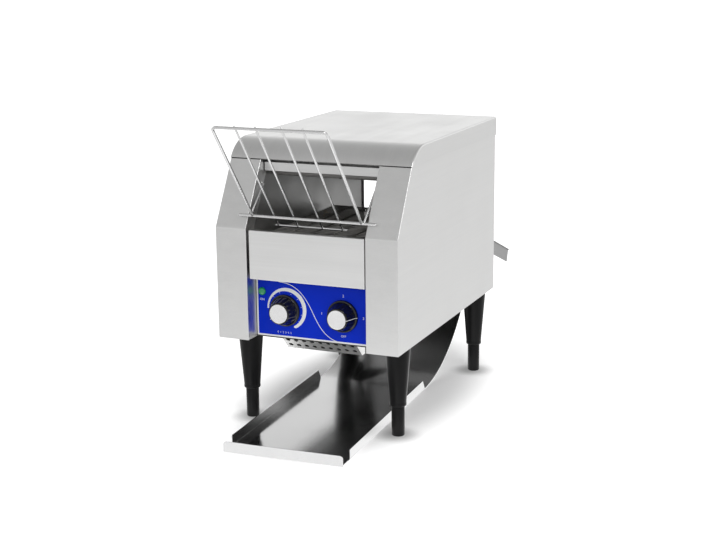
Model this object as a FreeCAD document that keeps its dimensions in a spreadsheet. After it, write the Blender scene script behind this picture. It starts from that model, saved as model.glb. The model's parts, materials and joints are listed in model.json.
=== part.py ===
import FreeCAD, Part
import math
import os
import Sketcher

from FreeCAD import Rotation, Vector

# Conveyor toaster: bread goes in over a wire feed rack, rides on a belt between two rows of heating
# tubes, leaves over a ramp at the back and slides forward again on a chute under the housing.
# Lengths are in mm and angles in degrees. +Z is up and the front faces -Y. Depths are measured back
# from the column faces, and the finished sub-parts are then moved so that the origin lies on the
# table under the middle of the toaster.

driving = {
    # sheet metal and fits
    "sheet_gauge": 1.0,
    "base_gauge": 1.5,
    "seat_gap": 0.3,
    "running_gap": 0.05,
    "press_gap": 0.02,
    "hole_gap": 0.5,
    "overrun": 2.0,
    # housing
    "body_wide": 260.0,
    "body_deep": 395.0,
    "floor_high": 125.0,
    "crease_high": 276.0,
    "panel_high": 385.7,
    "slant_angle": 60.0,
    "shoulder_round": 52.0,
    "column_wide": 45.0,
    "column_high": 358.0,
    "return_deep": 25.0,
    "rear_return": 18.0,
    "cover_low": 359.5,
    "wall_lap": 15.0,
    "wall_high": 372.0,
    "strip_back": 58.0,
    "strip_low": 345.0,
    "strip_top": 369.0,
    "strip_flange": 10.0,
    "reflector_front": 76.0,
    "reflector_flange": 12.0,
    "exit_high": 281.0,
    "exit_margin": 3.0,
    "vent_wide": 4.0,
    "vent_high": 34.0,
    "vent_step": 11.0,
    "vent_low": 142.0,
    "vent_count": 9,
    # control panel
    "panel_back": 25.0,
    "panel_top": 207.5,
    "panel_flange": 12.0,
    "panel_side_gap": 0.5,
    "label_gauge": 0.5,
    "label_low": 128.0,
    "label_margin": 2.5,
    # lower guard
    "guard_wide": 110.0,
    "guard_front": 36.0,
    "guard_drop": 22.0,
    "guard_flange": 10.0,
    "guard_hole": 3.4,
    "guard_hole_step": 11.8,
    "guard_row_step": 13.0,
    "guard_hole_count": 9,
    # rear ramp
    "ramp_behind": 22.5,
    "ramp_high": 243.5,
    "ramp_reach": 80.0,
    "ramp_low": 168.0,
    "ramp_cheek": 20.0,
    "ramp_overhang": 1.5,
    "ramp_side_gap": 3.3,
    "ramp_shoulder_gap": 2.5,
    # belt and its shafts
    "idler_back": 44.0,
    "shaft_high": 248.0,
    "shaft_radius": 5.0,
    "shaft_past_wall": 5.0,
    "belt_round": 16.0,
    "belt_gauge": 2.0,
    "belt_bar": 1.6,
    "belt_side_gap": 11.0,
    "belt_run_count": 25,
    "sprocket_tooth_count": 12,
    "belt_zone_count": 5,
    "sprocket_tooth_high": 3.4,
    "sprocket_thick": 6.0,
    "tooth_root_wide": 4.0,
    "tooth_tip_wide": 2.0,
    # shaft bushes
    "bush_radius": 7.5,
    "bush_flange": 11.0,
    "bush_flange_thick": 2.0,
    # heating tubes
    "heater_radius": 5.0,
    "heater_front": 100.0,
    "heater_step": 50.0,
    "heater_count": 3,
    "upper_heater_high": 338.0,
    "heater_past_wall": 6.0,
    "cap_radius": 8.0,
    "cap_long": 12.0,
    "reflector_above": 8.0,
    # motor, chain and its wheels
    "chain_pitch": 6.35,
    "chain_run_count": 13,
    "wheel_tooth_count": 12,
    "wheel_thick": 3.0,
    "wheel_out": 9.0,
    "wheel_tooth_high": 2.2,
    "wheel_root_wide": 3.0,
    "wheel_tip_wide": 1.4,
    "roller_radius": 1.6,
    "link_high": 5.2,
    "link_gauge": 0.8,
    "motor_ahead": 18.0,
    "motor_shaft_radius": 4.0,
    "gearbox_long": 26.0,
    "gearbox_size": 56.0,
    "motor_long": 42.0,
    "motor_size": 50.0,
    "rotor_radius": 17.0,
    "rotor_out": 14.0,
    "bracket_gauge": 3.0,
    "bracket_wide": 80.0,
    "bracket_foot": 20.0,
    "bracket_high": 198.0,
    # knobs and what they turn
    "knob_out_share": 0.4941,
    "knob_high": 164.2,
    "knob_gap": 0.5,
    "skirt_radius": 23.5,
    "skirt_thick": 2.6,
    "knob_radius": 19.6,
    "knob_nose": 15.6,
    "knob_long": 20.0,
    "knob_cap_radius": 13.8,
    "knob_cap_thick": 1.6,
    "knob_cap_proud": 0.6,
    "spindle_radius": 3.0,
    "spindle_in_knob": 15.0,
    "spindle_in_switch": 18.0,
    "control_wide": 34.0,
    "control_long": 22.0,
    "switch_wide": 40.0,
    "switch_long": 30.0,
    # indicator lamp
    "lamp_inset": 9.4,
    "lamp_high": 187.8,
    "lamp_radius": 5.5,
    "lamp_dome": 3.6,
    "lamp_neck": 4.4,
    "holder_radius": 7.0,
    "holder_long": 22.0,
    # feed rack
    "rack_wire": 2.0,
    "rack_thin_wire": 1.5,
    "rack_rest_high": 293.6,
    "rack_rest_lap": 13.5,
    "rack_side_gap": 7.5,
    "rack_long": 164.4,
    "rack_lean_angle": 51.6,
    "rack_bend": 7.0,
    "rack_wire_out": 46.0,
    "rack_wire_in": 17.6,
    "rack_nub": 4.5,
    "rack_tail": 19.4,
    "rack_low_lap": 6.0,
    "rack_weld": 0.2,
    "arm_side_gap": 4.4,
    "arm_long": 55.2,
    "arm_rise_angle": 42.0,
    # crumb drawer
    "drawer_low": 208.8,
    "drawer_top": 275.0,
    "drawer_setback": 2.0,
    "drawer_side_gap": 1.8,
    "drawer_hem": 8.0,
    "tray_floor": 212.0,
    "tray_high": 12.0,
    "tray_side_gap": 3.5,
    "tray_past_drive": 34.5,
    "runner_wide": 9.0,
    "runner_high": 11.0,
    "runner_past_tray": 2.0,
    # chute
    "chute_front": 89.0,
    "chute_side_gap": 2.0,
    "chute_gauge": 1.2,
    "chute_bend_inset": 152.0,
    "chute_bend": 280.0,
    "chute_angle": 72.0,
    "chute_turn_angle": 2.6,
    "chute_turn_deep": 30.0,
    "lip_high": 15.0,
    "lip_round": 4.0,
    "flange_start": 25.0,
    "flange_slope": 8.0,
    # legs and feet
    "leg_inset": 21.3,
    "leg_front": 51.9,
    "leg_rear_inset": 29.6,
    "leg_step": 42.0,
    "leg_top_radius": 17.6,
    "leg_low_radius": 11.4,
    "foot_radius": 8.9,
    "foot_chamfer": 1.5,
    "stem_radius": 5.0,
    "stem_long": 25.0,
    "stem_room": 3.0,
    # mains inlet and terminals
    "gland_inset": 30.0,
    "gland_high": 158.0,
    "gland_bore": 4.2,
    "gland_neck": 8.0,
    "gland_nut": 11.0,
    "gland_nut_long": 6.0,
    "gland_out_long": 14.0,
    "gland_in_long": 8.0,
    "terminal_rear_inset": 65.0,
    "terminal_long": 48.0,
    "terminal_deep": 20.0,
    "terminal_high": 18.0,
    "terminal_inset": 22.0,
    # screws
    "screw_radius": 2.0,
    "screw_head": 3.8,
    "screw_head_thick": 2.2,
    "screw_long": 8.0,
    "cover_screw_inset": 40.0,
    "cover_screw_high": 369.0,
    "panel_screw_low": 150.0,
    "panel_screw_step": 95.0,
    "panel_screw_count": 3,
}

doc = FreeCAD.newDocument("ConveyorToaster")
sheet = doc.addObject("Spreadsheet::Sheet", "Sizes")
for row, (word, number) in enumerate(driving.items(), 1):
    sheet.set(f"A{row}", word)
    sheet.set(f"B{row}", str(number))
    sheet.setAlias(f"B{row}", word)
doc.recompute()


class Size:
    """A size as a number, with the expression that reads it from the sheet."""

    def __init__(self, text, value):
        self.text = text
        self.value = float(value)

    def __add__(self, other):
        return joined(self, "+", other)

    def __radd__(self, other):
        return joined(other, "+", self)

    def __sub__(self, other):
        return joined(self, "-", other)

    def __rsub__(self, other):
        return joined(other, "-", self)

    def __mul__(self, other):
        return joined(self, "*", other)

    def __rmul__(self, other):
        return joined(other, "*", self)

    def __truediv__(self, other):
        return joined(self, "/", other)

    def __rtruediv__(self, other):
        return joined(other, "/", self)

    def __neg__(self):
        return joined(0, "-", self)

    def __float__(self):
        return self.value


def joined(first, sign, second):
    """Two sizes or numbers put together by one of the four signs."""
    a, b = float(first), float(second)
    results = {"+": a + b, "-": a - b, "*": a * b, "/": a / b if b else 0.0}
    return Size(f"({text_of(first)} {sign} {text_of(second)})", results[sign])


def text_of(size):
    return size.text if isinstance(size, Size) else repr(size)


def sine(angle):
    return Size(f"sin({text_of(angle)})", math.sin(math.radians(float(angle))))


def cosine(angle):
    return Size(f"cos({text_of(angle)})", math.cos(math.radians(float(angle))))


def tangent(angle):
    return Size(f"tan({text_of(angle)})", math.tan(math.radians(float(angle))))


def arctangent(rise, run):
    angle = math.degrees(math.atan2(float(rise), float(run)))
    return Size(f"atan2({text_of(rise)}; {text_of(run)})", angle)


class Words:
    """Every driving size under its own word."""

    def __init__(self):
        for word in driving:
            setattr(self, word, Size(f"Sizes.{word}", getattr(sheet, word)))


s = Words()
half_turn = 180
quarter_turn = 90
hands = {"right": 1, "left": -1}
turns = {
    "X": Rotation(Vector(0, 1, 0), quarter_turn),
    "Y": Rotation(Vector(1, 0, 0), -quarter_turn),
    "Z": Rotation(),
    "forward": Rotation(Vector(1, 0, 0), quarter_turn),
    "left": Rotation(Vector(0, 1, 0), -quarter_turn),
}

# Places that several sub-parts share
body_half = s.body_wide / 2
column_in = body_half - s.column_wide
wall_in = column_in + s.sheet_gauge
wall_out = wall_in + s.sheet_gauge
base_top = s.floor_high + s.base_gauge
wall_front = s.return_deep - s.wall_lap
rear_inside = s.body_deep - s.sheet_gauge * 2
wall_rear = rear_inside - s.seat_gap
belt_half = wall_in - s.belt_side_gap
belt_pitch = s.belt_round * (2 * math.pi) / s.sprocket_tooth_count
drive_back = s.idler_back + belt_pitch * s.belt_run_count
wheel_in = wall_out + s.wheel_out
chain_span = s.chain_pitch * s.chain_run_count
chain_sink = math.sqrt(chain_span.value**2 - s.motor_ahead.value**2)
chain_drop = Size(f"sqrt({chain_span.text}^2 - {s.motor_ahead.text}^2)", chain_sink)
motor_back = drive_back - s.motor_ahead
motor_high = s.shaft_high - chain_drop
knob_out = column_in * s.knob_out_share
lamp_out = column_in - s.lamp_inset
ramp_front = drive_back + s.ramp_behind
ramp_rear = s.body_deep + s.ramp_reach
ramp_slope = (s.ramp_high - s.ramp_low) / (ramp_rear - ramp_front)
ramp_angle = arctangent(s.ramp_high - s.ramp_low, ramp_rear - ramp_front)


def slant_depth(height, out=0):
    """Depth of the slanted column face at a height, moved outwards by a distance."""
    return (height - s.crease_high) / tangent(s.slant_angle) - out / sine(s.slant_angle)


rack_half = column_in - s.rack_side_gap
arm_out = column_in - s.arm_side_gap
rest_gap = s.rack_wire + s.seat_gap
rack_back = slant_depth(s.rack_rest_high, rest_gap)
pivot_back = rack_back + s.arm_long * cosine(s.arm_rise_angle)
pivot_high = s.rack_rest_high + s.arm_long * sine(s.arm_rise_angle)
front_reach = s.rack_long * cosine(s.rack_lean_angle) + s.rack_wire - rack_back
chute_half = column_in - s.chute_side_gap
chute_flat_end = s.body_deep - s.chute_bend_inset
chute_long = chute_flat_end + s.chute_bend * sine(s.chute_angle)
turned_reach = (chute_long - s.chute_turn_deep) * cosine(s.chute_turn_angle)
rear_reach = s.chute_turn_deep + turned_reach + chute_half * sine(s.chute_turn_angle)
home = (front_reach - rear_reach) / 2

places = {}
nodes = []


def bind(item, name, size):
    """Give a property its size, with the expression when it has one."""
    if isinstance(size, Size):
        item.setExpression(name, size.text)
    elif size:
        item.setExpression(name, repr(size))


def put(item, x=0, y=0, z=0):
    places[item.Name] = (x, y, z)
    bind(item, "Placement.Base.x", x)
    bind(item, "Placement.Base.y", y)
    bind(item, "Placement.Base.z", z)
    return item


def node(item, label):
    """Name a finished sub-part and move it from its depths to the origin of the toaster."""
    x, y, z = places.get(item.Name, (0, 0, 0))
    put(item, x, home + y, z)
    item.Label = label
    nodes.append(item)
    return item


def box(name, x, y, z):
    """Block from the first to the second of each pair."""
    item = doc.addObject("Part::Box", name)
    bind(item, "Length", x[1] - x[0])
    bind(item, "Width", y[1] - y[0])
    bind(item, "Height", z[1] - z[0])
    return put(item, x[0], y[0], z[0])


def rod(name, radius, length, at, turn="Z"):
    item = doc.addObject("Part::Cylinder", name)
    bind(item, "Radius", radius)
    bind(item, "Height", length)
    item.Placement.Rotation = turns[turn]
    return put(item, *at)


def fuse(name, parts):
    item = doc.addObject("Part::MultiFuse", name)
    item.Shapes = parts
    item.Refine = True
    return item


def cut(name, base, tools):
    item = doc.addObject("Part::Cut", name)
    item.Base = base
    item.Tool = tools[0] if len(tools) == 1 else fuse(name + "_tools", tools)
    return item


def group(name, parts):
    """Separate solids of one kind kept together."""
    item = doc.addObject("Part::Compound", name)
    item.Links = parts
    return item


def pair(side, low, high):
    """Two places on one side of the middle, the lower first."""
    return (low, high) if side > 0 else (-high, -low)


def hold(sketch, direction, line, size):
    """Fix one coordinate of the start of a line."""
    if not isinstance(size, Size):
        axis = -2 if direction == "DistanceX" else -1
        sketch.addConstraint(Sketcher.Constraint("PointOnObject", line, 1, axis))
        return
    number = sketch.addConstraint(Sketcher.Constraint(direction, -1, 1, line, 1, size.value))
    sketch.setExpression(f"Constraints[{number}]", size.text)


def outline(body, role, points):
    """Closed sketch through points on one of the body's own planes."""
    sketch = body.newObject("Sketcher::SketchObject", body.Name + "_outline")
    plane = next(feature for feature in body.Origin.OriginFeatures if feature.Role == role)
    sketch.AttachmentSupport = [(plane, "")]
    sketch.MapMode = "FlatFace"
    count = len(points)
    corners = [Vector(float(u), float(v), 0) for u, v in points]
    for index in range(count):
        sketch.addGeometry(Part.LineSegment(corners[index], corners[(index + 1) % count]), False)
    for index in range(count):
        following = (index + 1) % count
        sketch.addConstraint(Sketcher.Constraint("Coincident", index, 2, following, 1))
    for index, (u, v) in enumerate(points):
        hold(sketch, "DistanceX", index, u)
        hold(sketch, "DistanceY", index, v)
    return sketch


def prism(name, role, points, start, end):
    """Outline on a plane of the body, padded from one distance to another along its normal."""
    body = doc.addObject("PartDesign::Body", name)
    sketch = outline(body, role, points)
    bind(sketch, "AttachmentOffset.Base.z", start)
    pad = body.newObject("PartDesign::Pad", name + "_pad")
    pad.Profile = sketch
    bind(pad, "Length", end - start)
    return body


def turned(name, points, turn="Z", at=(0, 0, 0)):
    """Outline of radii and heights turned once round."""
    body = doc.addObject("PartDesign::Body", name)
    sketch = outline(body, "XZ_Plane", points)
    round_off = body.newObject("PartDesign::Revolution", name + "_turn")
    round_off.Profile = sketch
    round_off.ReferenceAxis = (sketch, ["V_Axis"])
    round_off.Angle = 2 * half_turn
    body.Placement.Rotation = turns[turn]
    return put(body, *at)


def soften(body, radius, along, wanted):
    """Round the edges of a body that run along one axis and whose ends pass a test."""
    body.recompute(True)
    feature = body.Tip
    names = []
    for number, edge in enumerate(feature.Shape.Edges, 1):
        first, last = edge.Vertexes[0].Point, edge.Vertexes[-1].Point
        parallel = same((last - first).cross(along).Length, 0)
        if parallel and wanted(first) and wanted(last):
            names.append(f"Edge{number}")
    fillet = body.newObject("PartDesign::Fillet", body.Name + "_round")
    fillet.Base = (feature, names)
    bind(fillet, "Radius", radius)
    return body


def same(first, second):
    return abs(float(first) - float(second)) < float(s.press_gap)


def shaped(name, shape):
    """Sub-part whose shape no sketch or primitive gives; its sizes come from the sheet all the same."""
    item = doc.addObject("Part::Feature", name)
    item.Shape = shape
    return item


# Side panels: one sheet each, bent round the column and round the rear edge
def shoulder(name, out, low, x):
    """Side view of the housing with its rounded front shoulder, moved outwards by a distance."""
    top = s.panel_high + out
    front = slant_depth(top, out)
    nose = [(slant_depth(low, out), low)]
    if low is s.floor_high:
        nose = [(0, low), (0, s.crease_high)]
    points = nose + [(front, top), (s.body_deep + out, top), (s.body_deep + out, low)]
    body = prism(name, "YZ_Plane", points, x[0], x[1])
    along = Vector(1, 0, 0)
    return soften(body, s.shoulder_round + out, along, lambda p: same(p.y, front) and same(p.z, top))


panel_screw_steps = range(int(s.panel_screw_count.value))


def side_panel(side, label):
    gauge = s.sheet_gauge
    skin = shoulder(label + "_skin", 0, s.floor_high, pair(side, body_half - gauge, body_half))
    inner_crease = s.crease_high + (gauge - gauge / sine(s.slant_angle)) * tangent(s.slant_angle)
    strip = prism(
        label + "_column",
        "YZ_Plane",
        [
            (0, s.floor_high),
            (0, s.crease_high),
            (slant_depth(s.column_high), s.column_high),
            (slant_depth(s.column_high, -gauge), s.column_high),
            (gauge, inner_crease),
            (gauge, s.floor_high),
        ],
        *pair(side, column_in, body_half),
    )
    column_return = prism(
        label + "_return",
        "YZ_Plane",
        [
            (0, s.floor_high),
            (0, s.crease_high),
            (slant_depth(s.column_high), s.column_high),
            (slant_depth(s.column_high) + s.return_deep, s.column_high),
            (s.return_deep, s.crease_high),
            (s.return_deep, s.floor_high),
        ],
        *pair(side, column_in, column_in + gauge),
    )
    rear = box(
        label + "_rear",
        pair(side, body_half - s.rear_return, body_half),
        (s.body_deep - gauge, s.body_deep),
        (s.floor_high, s.panel_high),
    )
    sheet_form = fuse(label + "_sheet", [skin, strip, column_return, rear])
    pivot_hole = rod(
        label + "_pivot_hole",
        s.rack_thin_wire + s.running_gap,
        s.sheet_gauge + s.overrun * 2,
        (side * column_in - s.overrun if side > 0 else -wall_in - s.overrun, pivot_back, pivot_high),
        "X",
    )
    screws = [panel_screw_hole(label, side, step) for step in panel_screw_steps]
    node(cut(label, sheet_form, [pivot_hole] + screws), label)


def panel_screw_place(side, step):
    out = body_half - s.rear_return / 2
    return side * out, s.panel_screw_low + s.panel_screw_step * step


def panel_screw_hole(label, side, step):
    x, z = panel_screw_place(side, step)
    return rod(
        f"{label}_screw_hole_{step}",
        s.screw_radius + s.running_gap,
        s.screw_long + s.overrun * 2,
        (x, s.body_deep - s.screw_long - s.overrun, z),
        "Y",
    )


side_panel(1, "side_panel_right")
side_panel(-1, "side_panel_left")

# Top cover: a lid that stands outside the panels by the seat gap
cover_outer = shoulder(
    "cover_outer",
    s.seat_gap + s.sheet_gauge,
    s.cover_low,
    (-body_half - s.seat_gap - s.sheet_gauge, body_half + s.seat_gap + s.sheet_gauge),
)
cover_inner = shoulder(
    "cover_inner",
    s.seat_gap,
    s.cover_low - s.overrun,
    (-body_half - s.seat_gap, body_half + s.seat_gap),
)
cover_screw_out = body_half - s.cover_screw_inset
cover_screw_x = [-cover_screw_out, 0, cover_screw_out]
cover_face = s.body_deep + s.seat_gap + s.sheet_gauge
cover_holes = [
    rod(
        f"cover_screw_hole_{index}",
        s.screw_radius + s.running_gap,
        s.screw_long + s.overrun * 2,
        (x, cover_face - s.screw_long - s.overrun, s.cover_screw_high),
        "Y",
    )
    for index, x in enumerate(cover_screw_x)
]
node(cut("top_cover", cover_outer, [cover_inner] + cover_holes), "top_cover")

# Inner walls of the toasting space
heater_depths = [s.heater_front + s.heater_step * step for step in range(int(s.heater_count.value))]
heater_places = [(depth, s.upper_heater_high) for depth in heater_depths]
heater_places += [(depth, s.shaft_high) for depth in heater_depths]


def wall_hole(label, side, radius, place):
    depth, high = place
    start = wall_in - s.overrun if side > 0 else -wall_out - s.overrun
    return rod(label, radius, s.sheet_gauge + s.overrun * 2, (start, depth, high), "X")


def inner_wall(side, label):
    plate = prism(
        label + "_plate",
        "YZ_Plane",
        [
            (wall_front, base_top),
            (wall_front, s.crease_high),
            (slant_depth(s.wall_high) + wall_front, s.wall_high),
            (wall_rear, s.wall_high),
            (wall_rear, base_top),
        ],
        *pair(side, wall_in, wall_out),
    )
    holes = [
        wall_hole(label + "_idler_hole", side, s.bush_radius + s.press_gap, (s.idler_back, s.shaft_high)),
        wall_hole(label + "_drive_hole", side, s.bush_radius + s.press_gap, (drive_back, s.shaft_high)),
        wall_hole(label + "_pivot_hole", side, s.rack_thin_wire * 2, (pivot_back, pivot_high)),
    ]
    for number, place in enumerate(heater_places):
        holes.append(wall_hole(f"{label}_heater_{number}", side, s.heater_radius + s.hole_gap, place))
    if side > 0:
        radius = s.motor_shaft_radius + s.hole_gap
        holes.append(wall_hole(label + "_motor_hole", side, radius, (motor_back, motor_high)))
    node(cut(label, plate, holes), label)


inner_wall(1, "inner_wall_right")
inner_wall(-1, "inner_wall_left")

# Crosspiece under the lid
strip_span = (-column_in, column_in)
strip_rear = s.strip_back + s.sheet_gauge
strip_end = s.strip_back + s.strip_flange
strip_parts = [
    box("strip_face", strip_span, (s.strip_back, strip_rear), (s.strip_low, s.strip_top)),
    box("strip_hem", strip_span, (s.strip_back, strip_end), (s.strip_low, s.strip_low + s.sheet_gauge)),
    box("strip_top", strip_span, (s.strip_back, strip_end), (s.strip_top - s.sheet_gauge, s.strip_top)),
]
node(fuse("front_strip", strip_parts), "front_strip")

# Reflector over the upper heaters, with its sides turned up against the inner walls
reflector_low = s.upper_heater_high + s.reflector_above
reflector_y = (s.reflector_front, wall_rear)
reflector_parts = [
    box("reflector_plate", (-wall_in, wall_in), reflector_y, (reflector_low, reflector_low + s.sheet_gauge))
]
for hand, side in hands.items():
    flange_x = pair(side, wall_in - s.sheet_gauge, wall_in)
    flange_z = (reflector_low, reflector_low + s.reflector_flange)
    reflector_parts.append(box(f"reflector_flange_{hand}", flange_x, reflector_y, flange_z))
node(fuse("top_reflector", reflector_parts), "top_reflector")

# Floor of the housing, open between the columns in front of the control panel
base_side = body_half - s.sheet_gauge - s.seat_gap
base_front = s.sheet_gauge + s.seat_gap
panel_front = s.panel_back + s.label_gauge
base_points = [
    (-base_side, base_front),
    (-wall_in - s.seat_gap, base_front),
    (-wall_in - s.seat_gap, s.return_deep + s.seat_gap),
    (wall_in + s.seat_gap, s.return_deep + s.seat_gap),
    (wall_in + s.seat_gap, base_front),
    (base_side, base_front),
    (base_side, wall_rear),
    (-base_side, wall_rear),
]
node(prism("base_plate", "XY_Plane", base_points, s.floor_high, base_top), "base_plate")

# Rear panel with the exit, the vent slots and the hole of the mains inlet
exit_half = wall_in - s.exit_margin
ramp_at_exit = s.ramp_high - (rear_inside - ramp_front) * ramp_slope
exit_low = ramp_at_exit - s.sheet_gauge / cosine(ramp_angle) - s.sheet_gauge * ramp_slope - s.seat_gap
rear_y = (rear_inside, s.body_deep - s.sheet_gauge)
rear_plate = box("rear_plate", (-base_side, base_side), rear_y, (base_top, s.panel_high))
through_y = (rear_inside - s.overrun, s.body_deep + s.overrun)
rear_cuts = [box("rear_exit", (-exit_half, exit_half), through_y, (exit_low, s.exit_high))]
vent_start = s.vent_step * (s.vent_count - 1) / -2
for number in range(int(s.vent_count.value)):
    vent_x = vent_start + s.vent_step * number
    rear_cuts.append(
        box(
            f"vent_{number}",
            (vent_x - s.vent_wide / 2, vent_x + s.vent_wide / 2),
            through_y,
            (s.vent_low, s.vent_low + s.vent_high),
        )
    )
gland_out = body_half - s.gland_inset
gland_hole = rod(
    "gland_hole",
    s.gland_neck + s.press_gap,
    s.sheet_gauge + s.overrun * 2,
    (gland_out, rear_inside - s.overrun, s.gland_high),
    "Y",
)
rear_cuts.append(gland_hole)
for hand, side in hands.items():
    for step in panel_screw_steps:
        rear_cuts.append(panel_screw_hole(f"rear_{hand}", side, step))
for index, x in enumerate(cover_screw_x):
    hole_start = (x, cover_face - s.screw_long - s.overrun, s.cover_screw_high)
    hole_radius = s.screw_radius + s.running_gap
    hole_long = s.screw_long + s.overrun * 2
    rear_cuts.append(rod(f"rear_cover_hole_{index}", hole_radius, hole_long, hole_start, "Y"))
node(cut("rear_panel", rear_plate, rear_cuts), "rear_panel")

# Ramp: a tongue inside the housing, the full width behind it, with the sides turned down
ramp_long = (ramp_rear - ramp_front) / cosine(ramp_angle)
tongue_half = wall_in - s.ramp_side_gap
tongue_long = (s.body_deep + s.ramp_shoulder_gap - ramp_front) / cosine(ramp_angle)
ramp_half = body_half
ramp_plate = prism(
    "ramp_plate",
    "XY_Plane",
    [
        (-tongue_half, 0),
        (tongue_half, 0),
        (tongue_half, tongue_long),
        (ramp_half, tongue_long),
        (ramp_half, ramp_long),
        (-ramp_half, ramp_long),
        (-ramp_half, tongue_long),
        (-tongue_half, tongue_long),
    ],
    -s.sheet_gauge,
    0,
)
ramp_parts = [ramp_plate]
cheek_end = ramp_long - s.ramp_overhang
cheek_points = [
    (tongue_long + s.sheet_gauge * ramp_slope, -s.sheet_gauge),
    (cheek_end, -s.sheet_gauge),
    (cheek_end, -s.ramp_cheek),
    (tongue_long + s.ramp_cheek * ramp_slope, -s.ramp_cheek),
]
for hand, side in hands.items():
    cheek_x = pair(side, ramp_half - s.ramp_overhang - s.sheet_gauge, ramp_half - s.ramp_overhang)
    ramp_parts.append(prism(f"ramp_cheek_{hand}", "YZ_Plane", cheek_points, *cheek_x))
ramp = fuse("rear_ramp", ramp_parts)
ramp.Placement.Rotation = Rotation(Vector(-1, 0, 0), ramp_angle.value)
bind(ramp, "Placement.Rotation.Angle", ramp_angle)
put(ramp, 0, ramp_front, s.ramp_high)
node(ramp, "rear_ramp")

# Control panel: a pan bent back on all four sides, with the printed overlay laid on it
panel_half = column_in - s.panel_side_gap
panel_skin_y = (panel_front, panel_front + s.sheet_gauge)
panel_flange_y = (panel_front, panel_front + s.panel_flange)
panel_z = (base_top, s.panel_top)
panel_x = (-panel_half, panel_half)
panel_parts = [
    box("panel_face", panel_x, panel_skin_y, panel_z),
    box("panel_top_flange", panel_x, panel_flange_y, (s.panel_top - s.sheet_gauge, s.panel_top)),
    box("panel_low_flange", panel_x, panel_flange_y, (base_top, base_top + s.sheet_gauge)),
    box("panel_right_flange", pair(1, panel_half - s.sheet_gauge, panel_half), panel_flange_y, panel_z),
    box("panel_left_flange", pair(-1, panel_half - s.sheet_gauge, panel_half), panel_flange_y, panel_z),
]
panel_hole_long = s.overrun * 2 + s.sheet_gauge + s.label_gauge
panel_hole_start = s.panel_back - s.overrun


def panel_holes(name):
    spindle_hole = s.spindle_radius + s.hole_gap
    lamp_hole = s.lamp_neck + s.press_gap
    wanted = {
        "speed": (spindle_hole, -knob_out, s.knob_high),
        "switch": (spindle_hole, knob_out, s.knob_high),
        "lamp": (lamp_hole, -lamp_out, s.lamp_high),
    }
    holes = []
    for use, (radius, x, high) in wanted.items():
        holes.append(rod(f"{name}_{use}_hole", radius, panel_hole_long, (x, panel_hole_start, high), "Y"))
    return holes


node(cut("control_panel", fuse("panel_pan", panel_parts), panel_holes("panel")), "control_panel")
label_half = panel_half - s.label_margin
label_sheet = box(
    "label_sheet",
    (-label_half, label_half),
    (s.panel_back, panel_front),
    (s.label_low, s.panel_top - s.sheet_gauge),
)
node(cut("control_label", label_sheet, panel_holes("label")), "control_label")

# Lower guard: slopes back and down under the panel, perforated, closed at both ends
guard_tilt = quarter_turn / 2
guard_half = s.guard_wide / 2
guard_across = s.sheet_gauge / sine(guard_tilt)
guard_deep = s.guard_front + s.guard_drop
guard_low = s.floor_high - s.guard_drop
guard_rear = guard_deep + s.guard_flange
guard_sheet = prism(
    "guard_sheet",
    "YZ_Plane",
    [
        (s.guard_front, s.floor_high),
        (guard_deep, guard_low),
        (guard_rear, guard_low),
        (guard_rear, guard_low + s.sheet_gauge),
        (guard_deep + guard_across - s.sheet_gauge, guard_low + s.sheet_gauge),
        (s.guard_front + guard_across + s.sheet_gauge, s.floor_high - s.sheet_gauge),
        (guard_rear, s.floor_high - s.sheet_gauge),
        (guard_rear, s.floor_high),
    ],
    -guard_half,
    guard_half,
)
guard_end_points = [
    (s.guard_front, s.floor_high),
    (guard_deep, guard_low),
    (guard_rear, guard_low),
    (guard_rear, s.floor_high),
]
guard_parts = [guard_sheet]
for hand, side in hands.items():
    guard_end_x = pair(side, guard_half - s.sheet_gauge, guard_half)
    guard_parts.append(prism(f"guard_end_{hand}", "YZ_Plane", guard_end_points, *guard_end_x))
guard_holes = []
for row, row_side in enumerate((-0.5, 0.5)):
    down_slope = (s.guard_drop / 2) + s.guard_row_step * row_side * sine(guard_tilt)
    for number in range(int(s.guard_hole_count.value)):
        hole = doc.addObject("Part::Cylinder", f"guard_hole_{row}_{number}")
        bind(hole, "Radius", s.guard_hole)
        bind(hole, "Height", s.overrun * 2)
        hole.Placement.Rotation = Rotation(Vector(1, 0, 0), -guard_tilt)
        x = s.guard_hole_step * (number - (s.guard_hole_count - 1) / 2)
        start_gap = s.overrun * sine(guard_tilt)
        put(hole, x, s.guard_front + down_slope - start_gap, s.floor_high - down_slope - start_gap)
        guard_holes.append(hole)
node(cut("lower_guard", fuse("guard_form", guard_parts), guard_holes), "lower_guard")

# Crumb drawer: the front plate with its hems, and the tray behind it under the belt
drawer_half = column_in - s.drawer_side_gap
drawer_x = (-drawer_half, drawer_half)
drawer_z = (s.drawer_low, s.drawer_top)
plate_y = (s.drawer_setback, s.drawer_setback + s.sheet_gauge)
hem_y = (s.drawer_setback, s.drawer_setback + s.drawer_hem)
plate_parts = [
    box("plate_face", drawer_x, plate_y, drawer_z),
    box("plate_top_hem", drawer_x, hem_y, (s.drawer_top - s.sheet_gauge, s.drawer_top)),
    box("plate_low_hem", drawer_x, hem_y, (s.drawer_low, s.drawer_low + s.sheet_gauge)),
    box("plate_right_hem", pair(1, drawer_half - s.sheet_gauge, drawer_half), hem_y, drawer_z),
    box("plate_left_hem", pair(-1, drawer_half - s.sheet_gauge, drawer_half), hem_y, drawer_z),
]
node(fuse("front_plate", plate_parts), "front_plate")
tray_half = column_in - s.tray_side_gap
tray_y = (s.drawer_setback + s.sheet_gauge, drive_back + s.tray_past_drive)
tray_z = (s.tray_floor, s.tray_floor + s.tray_high)
tray_outside = box("tray_outside", (-tray_half, tray_half), tray_y, tray_z)
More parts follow.
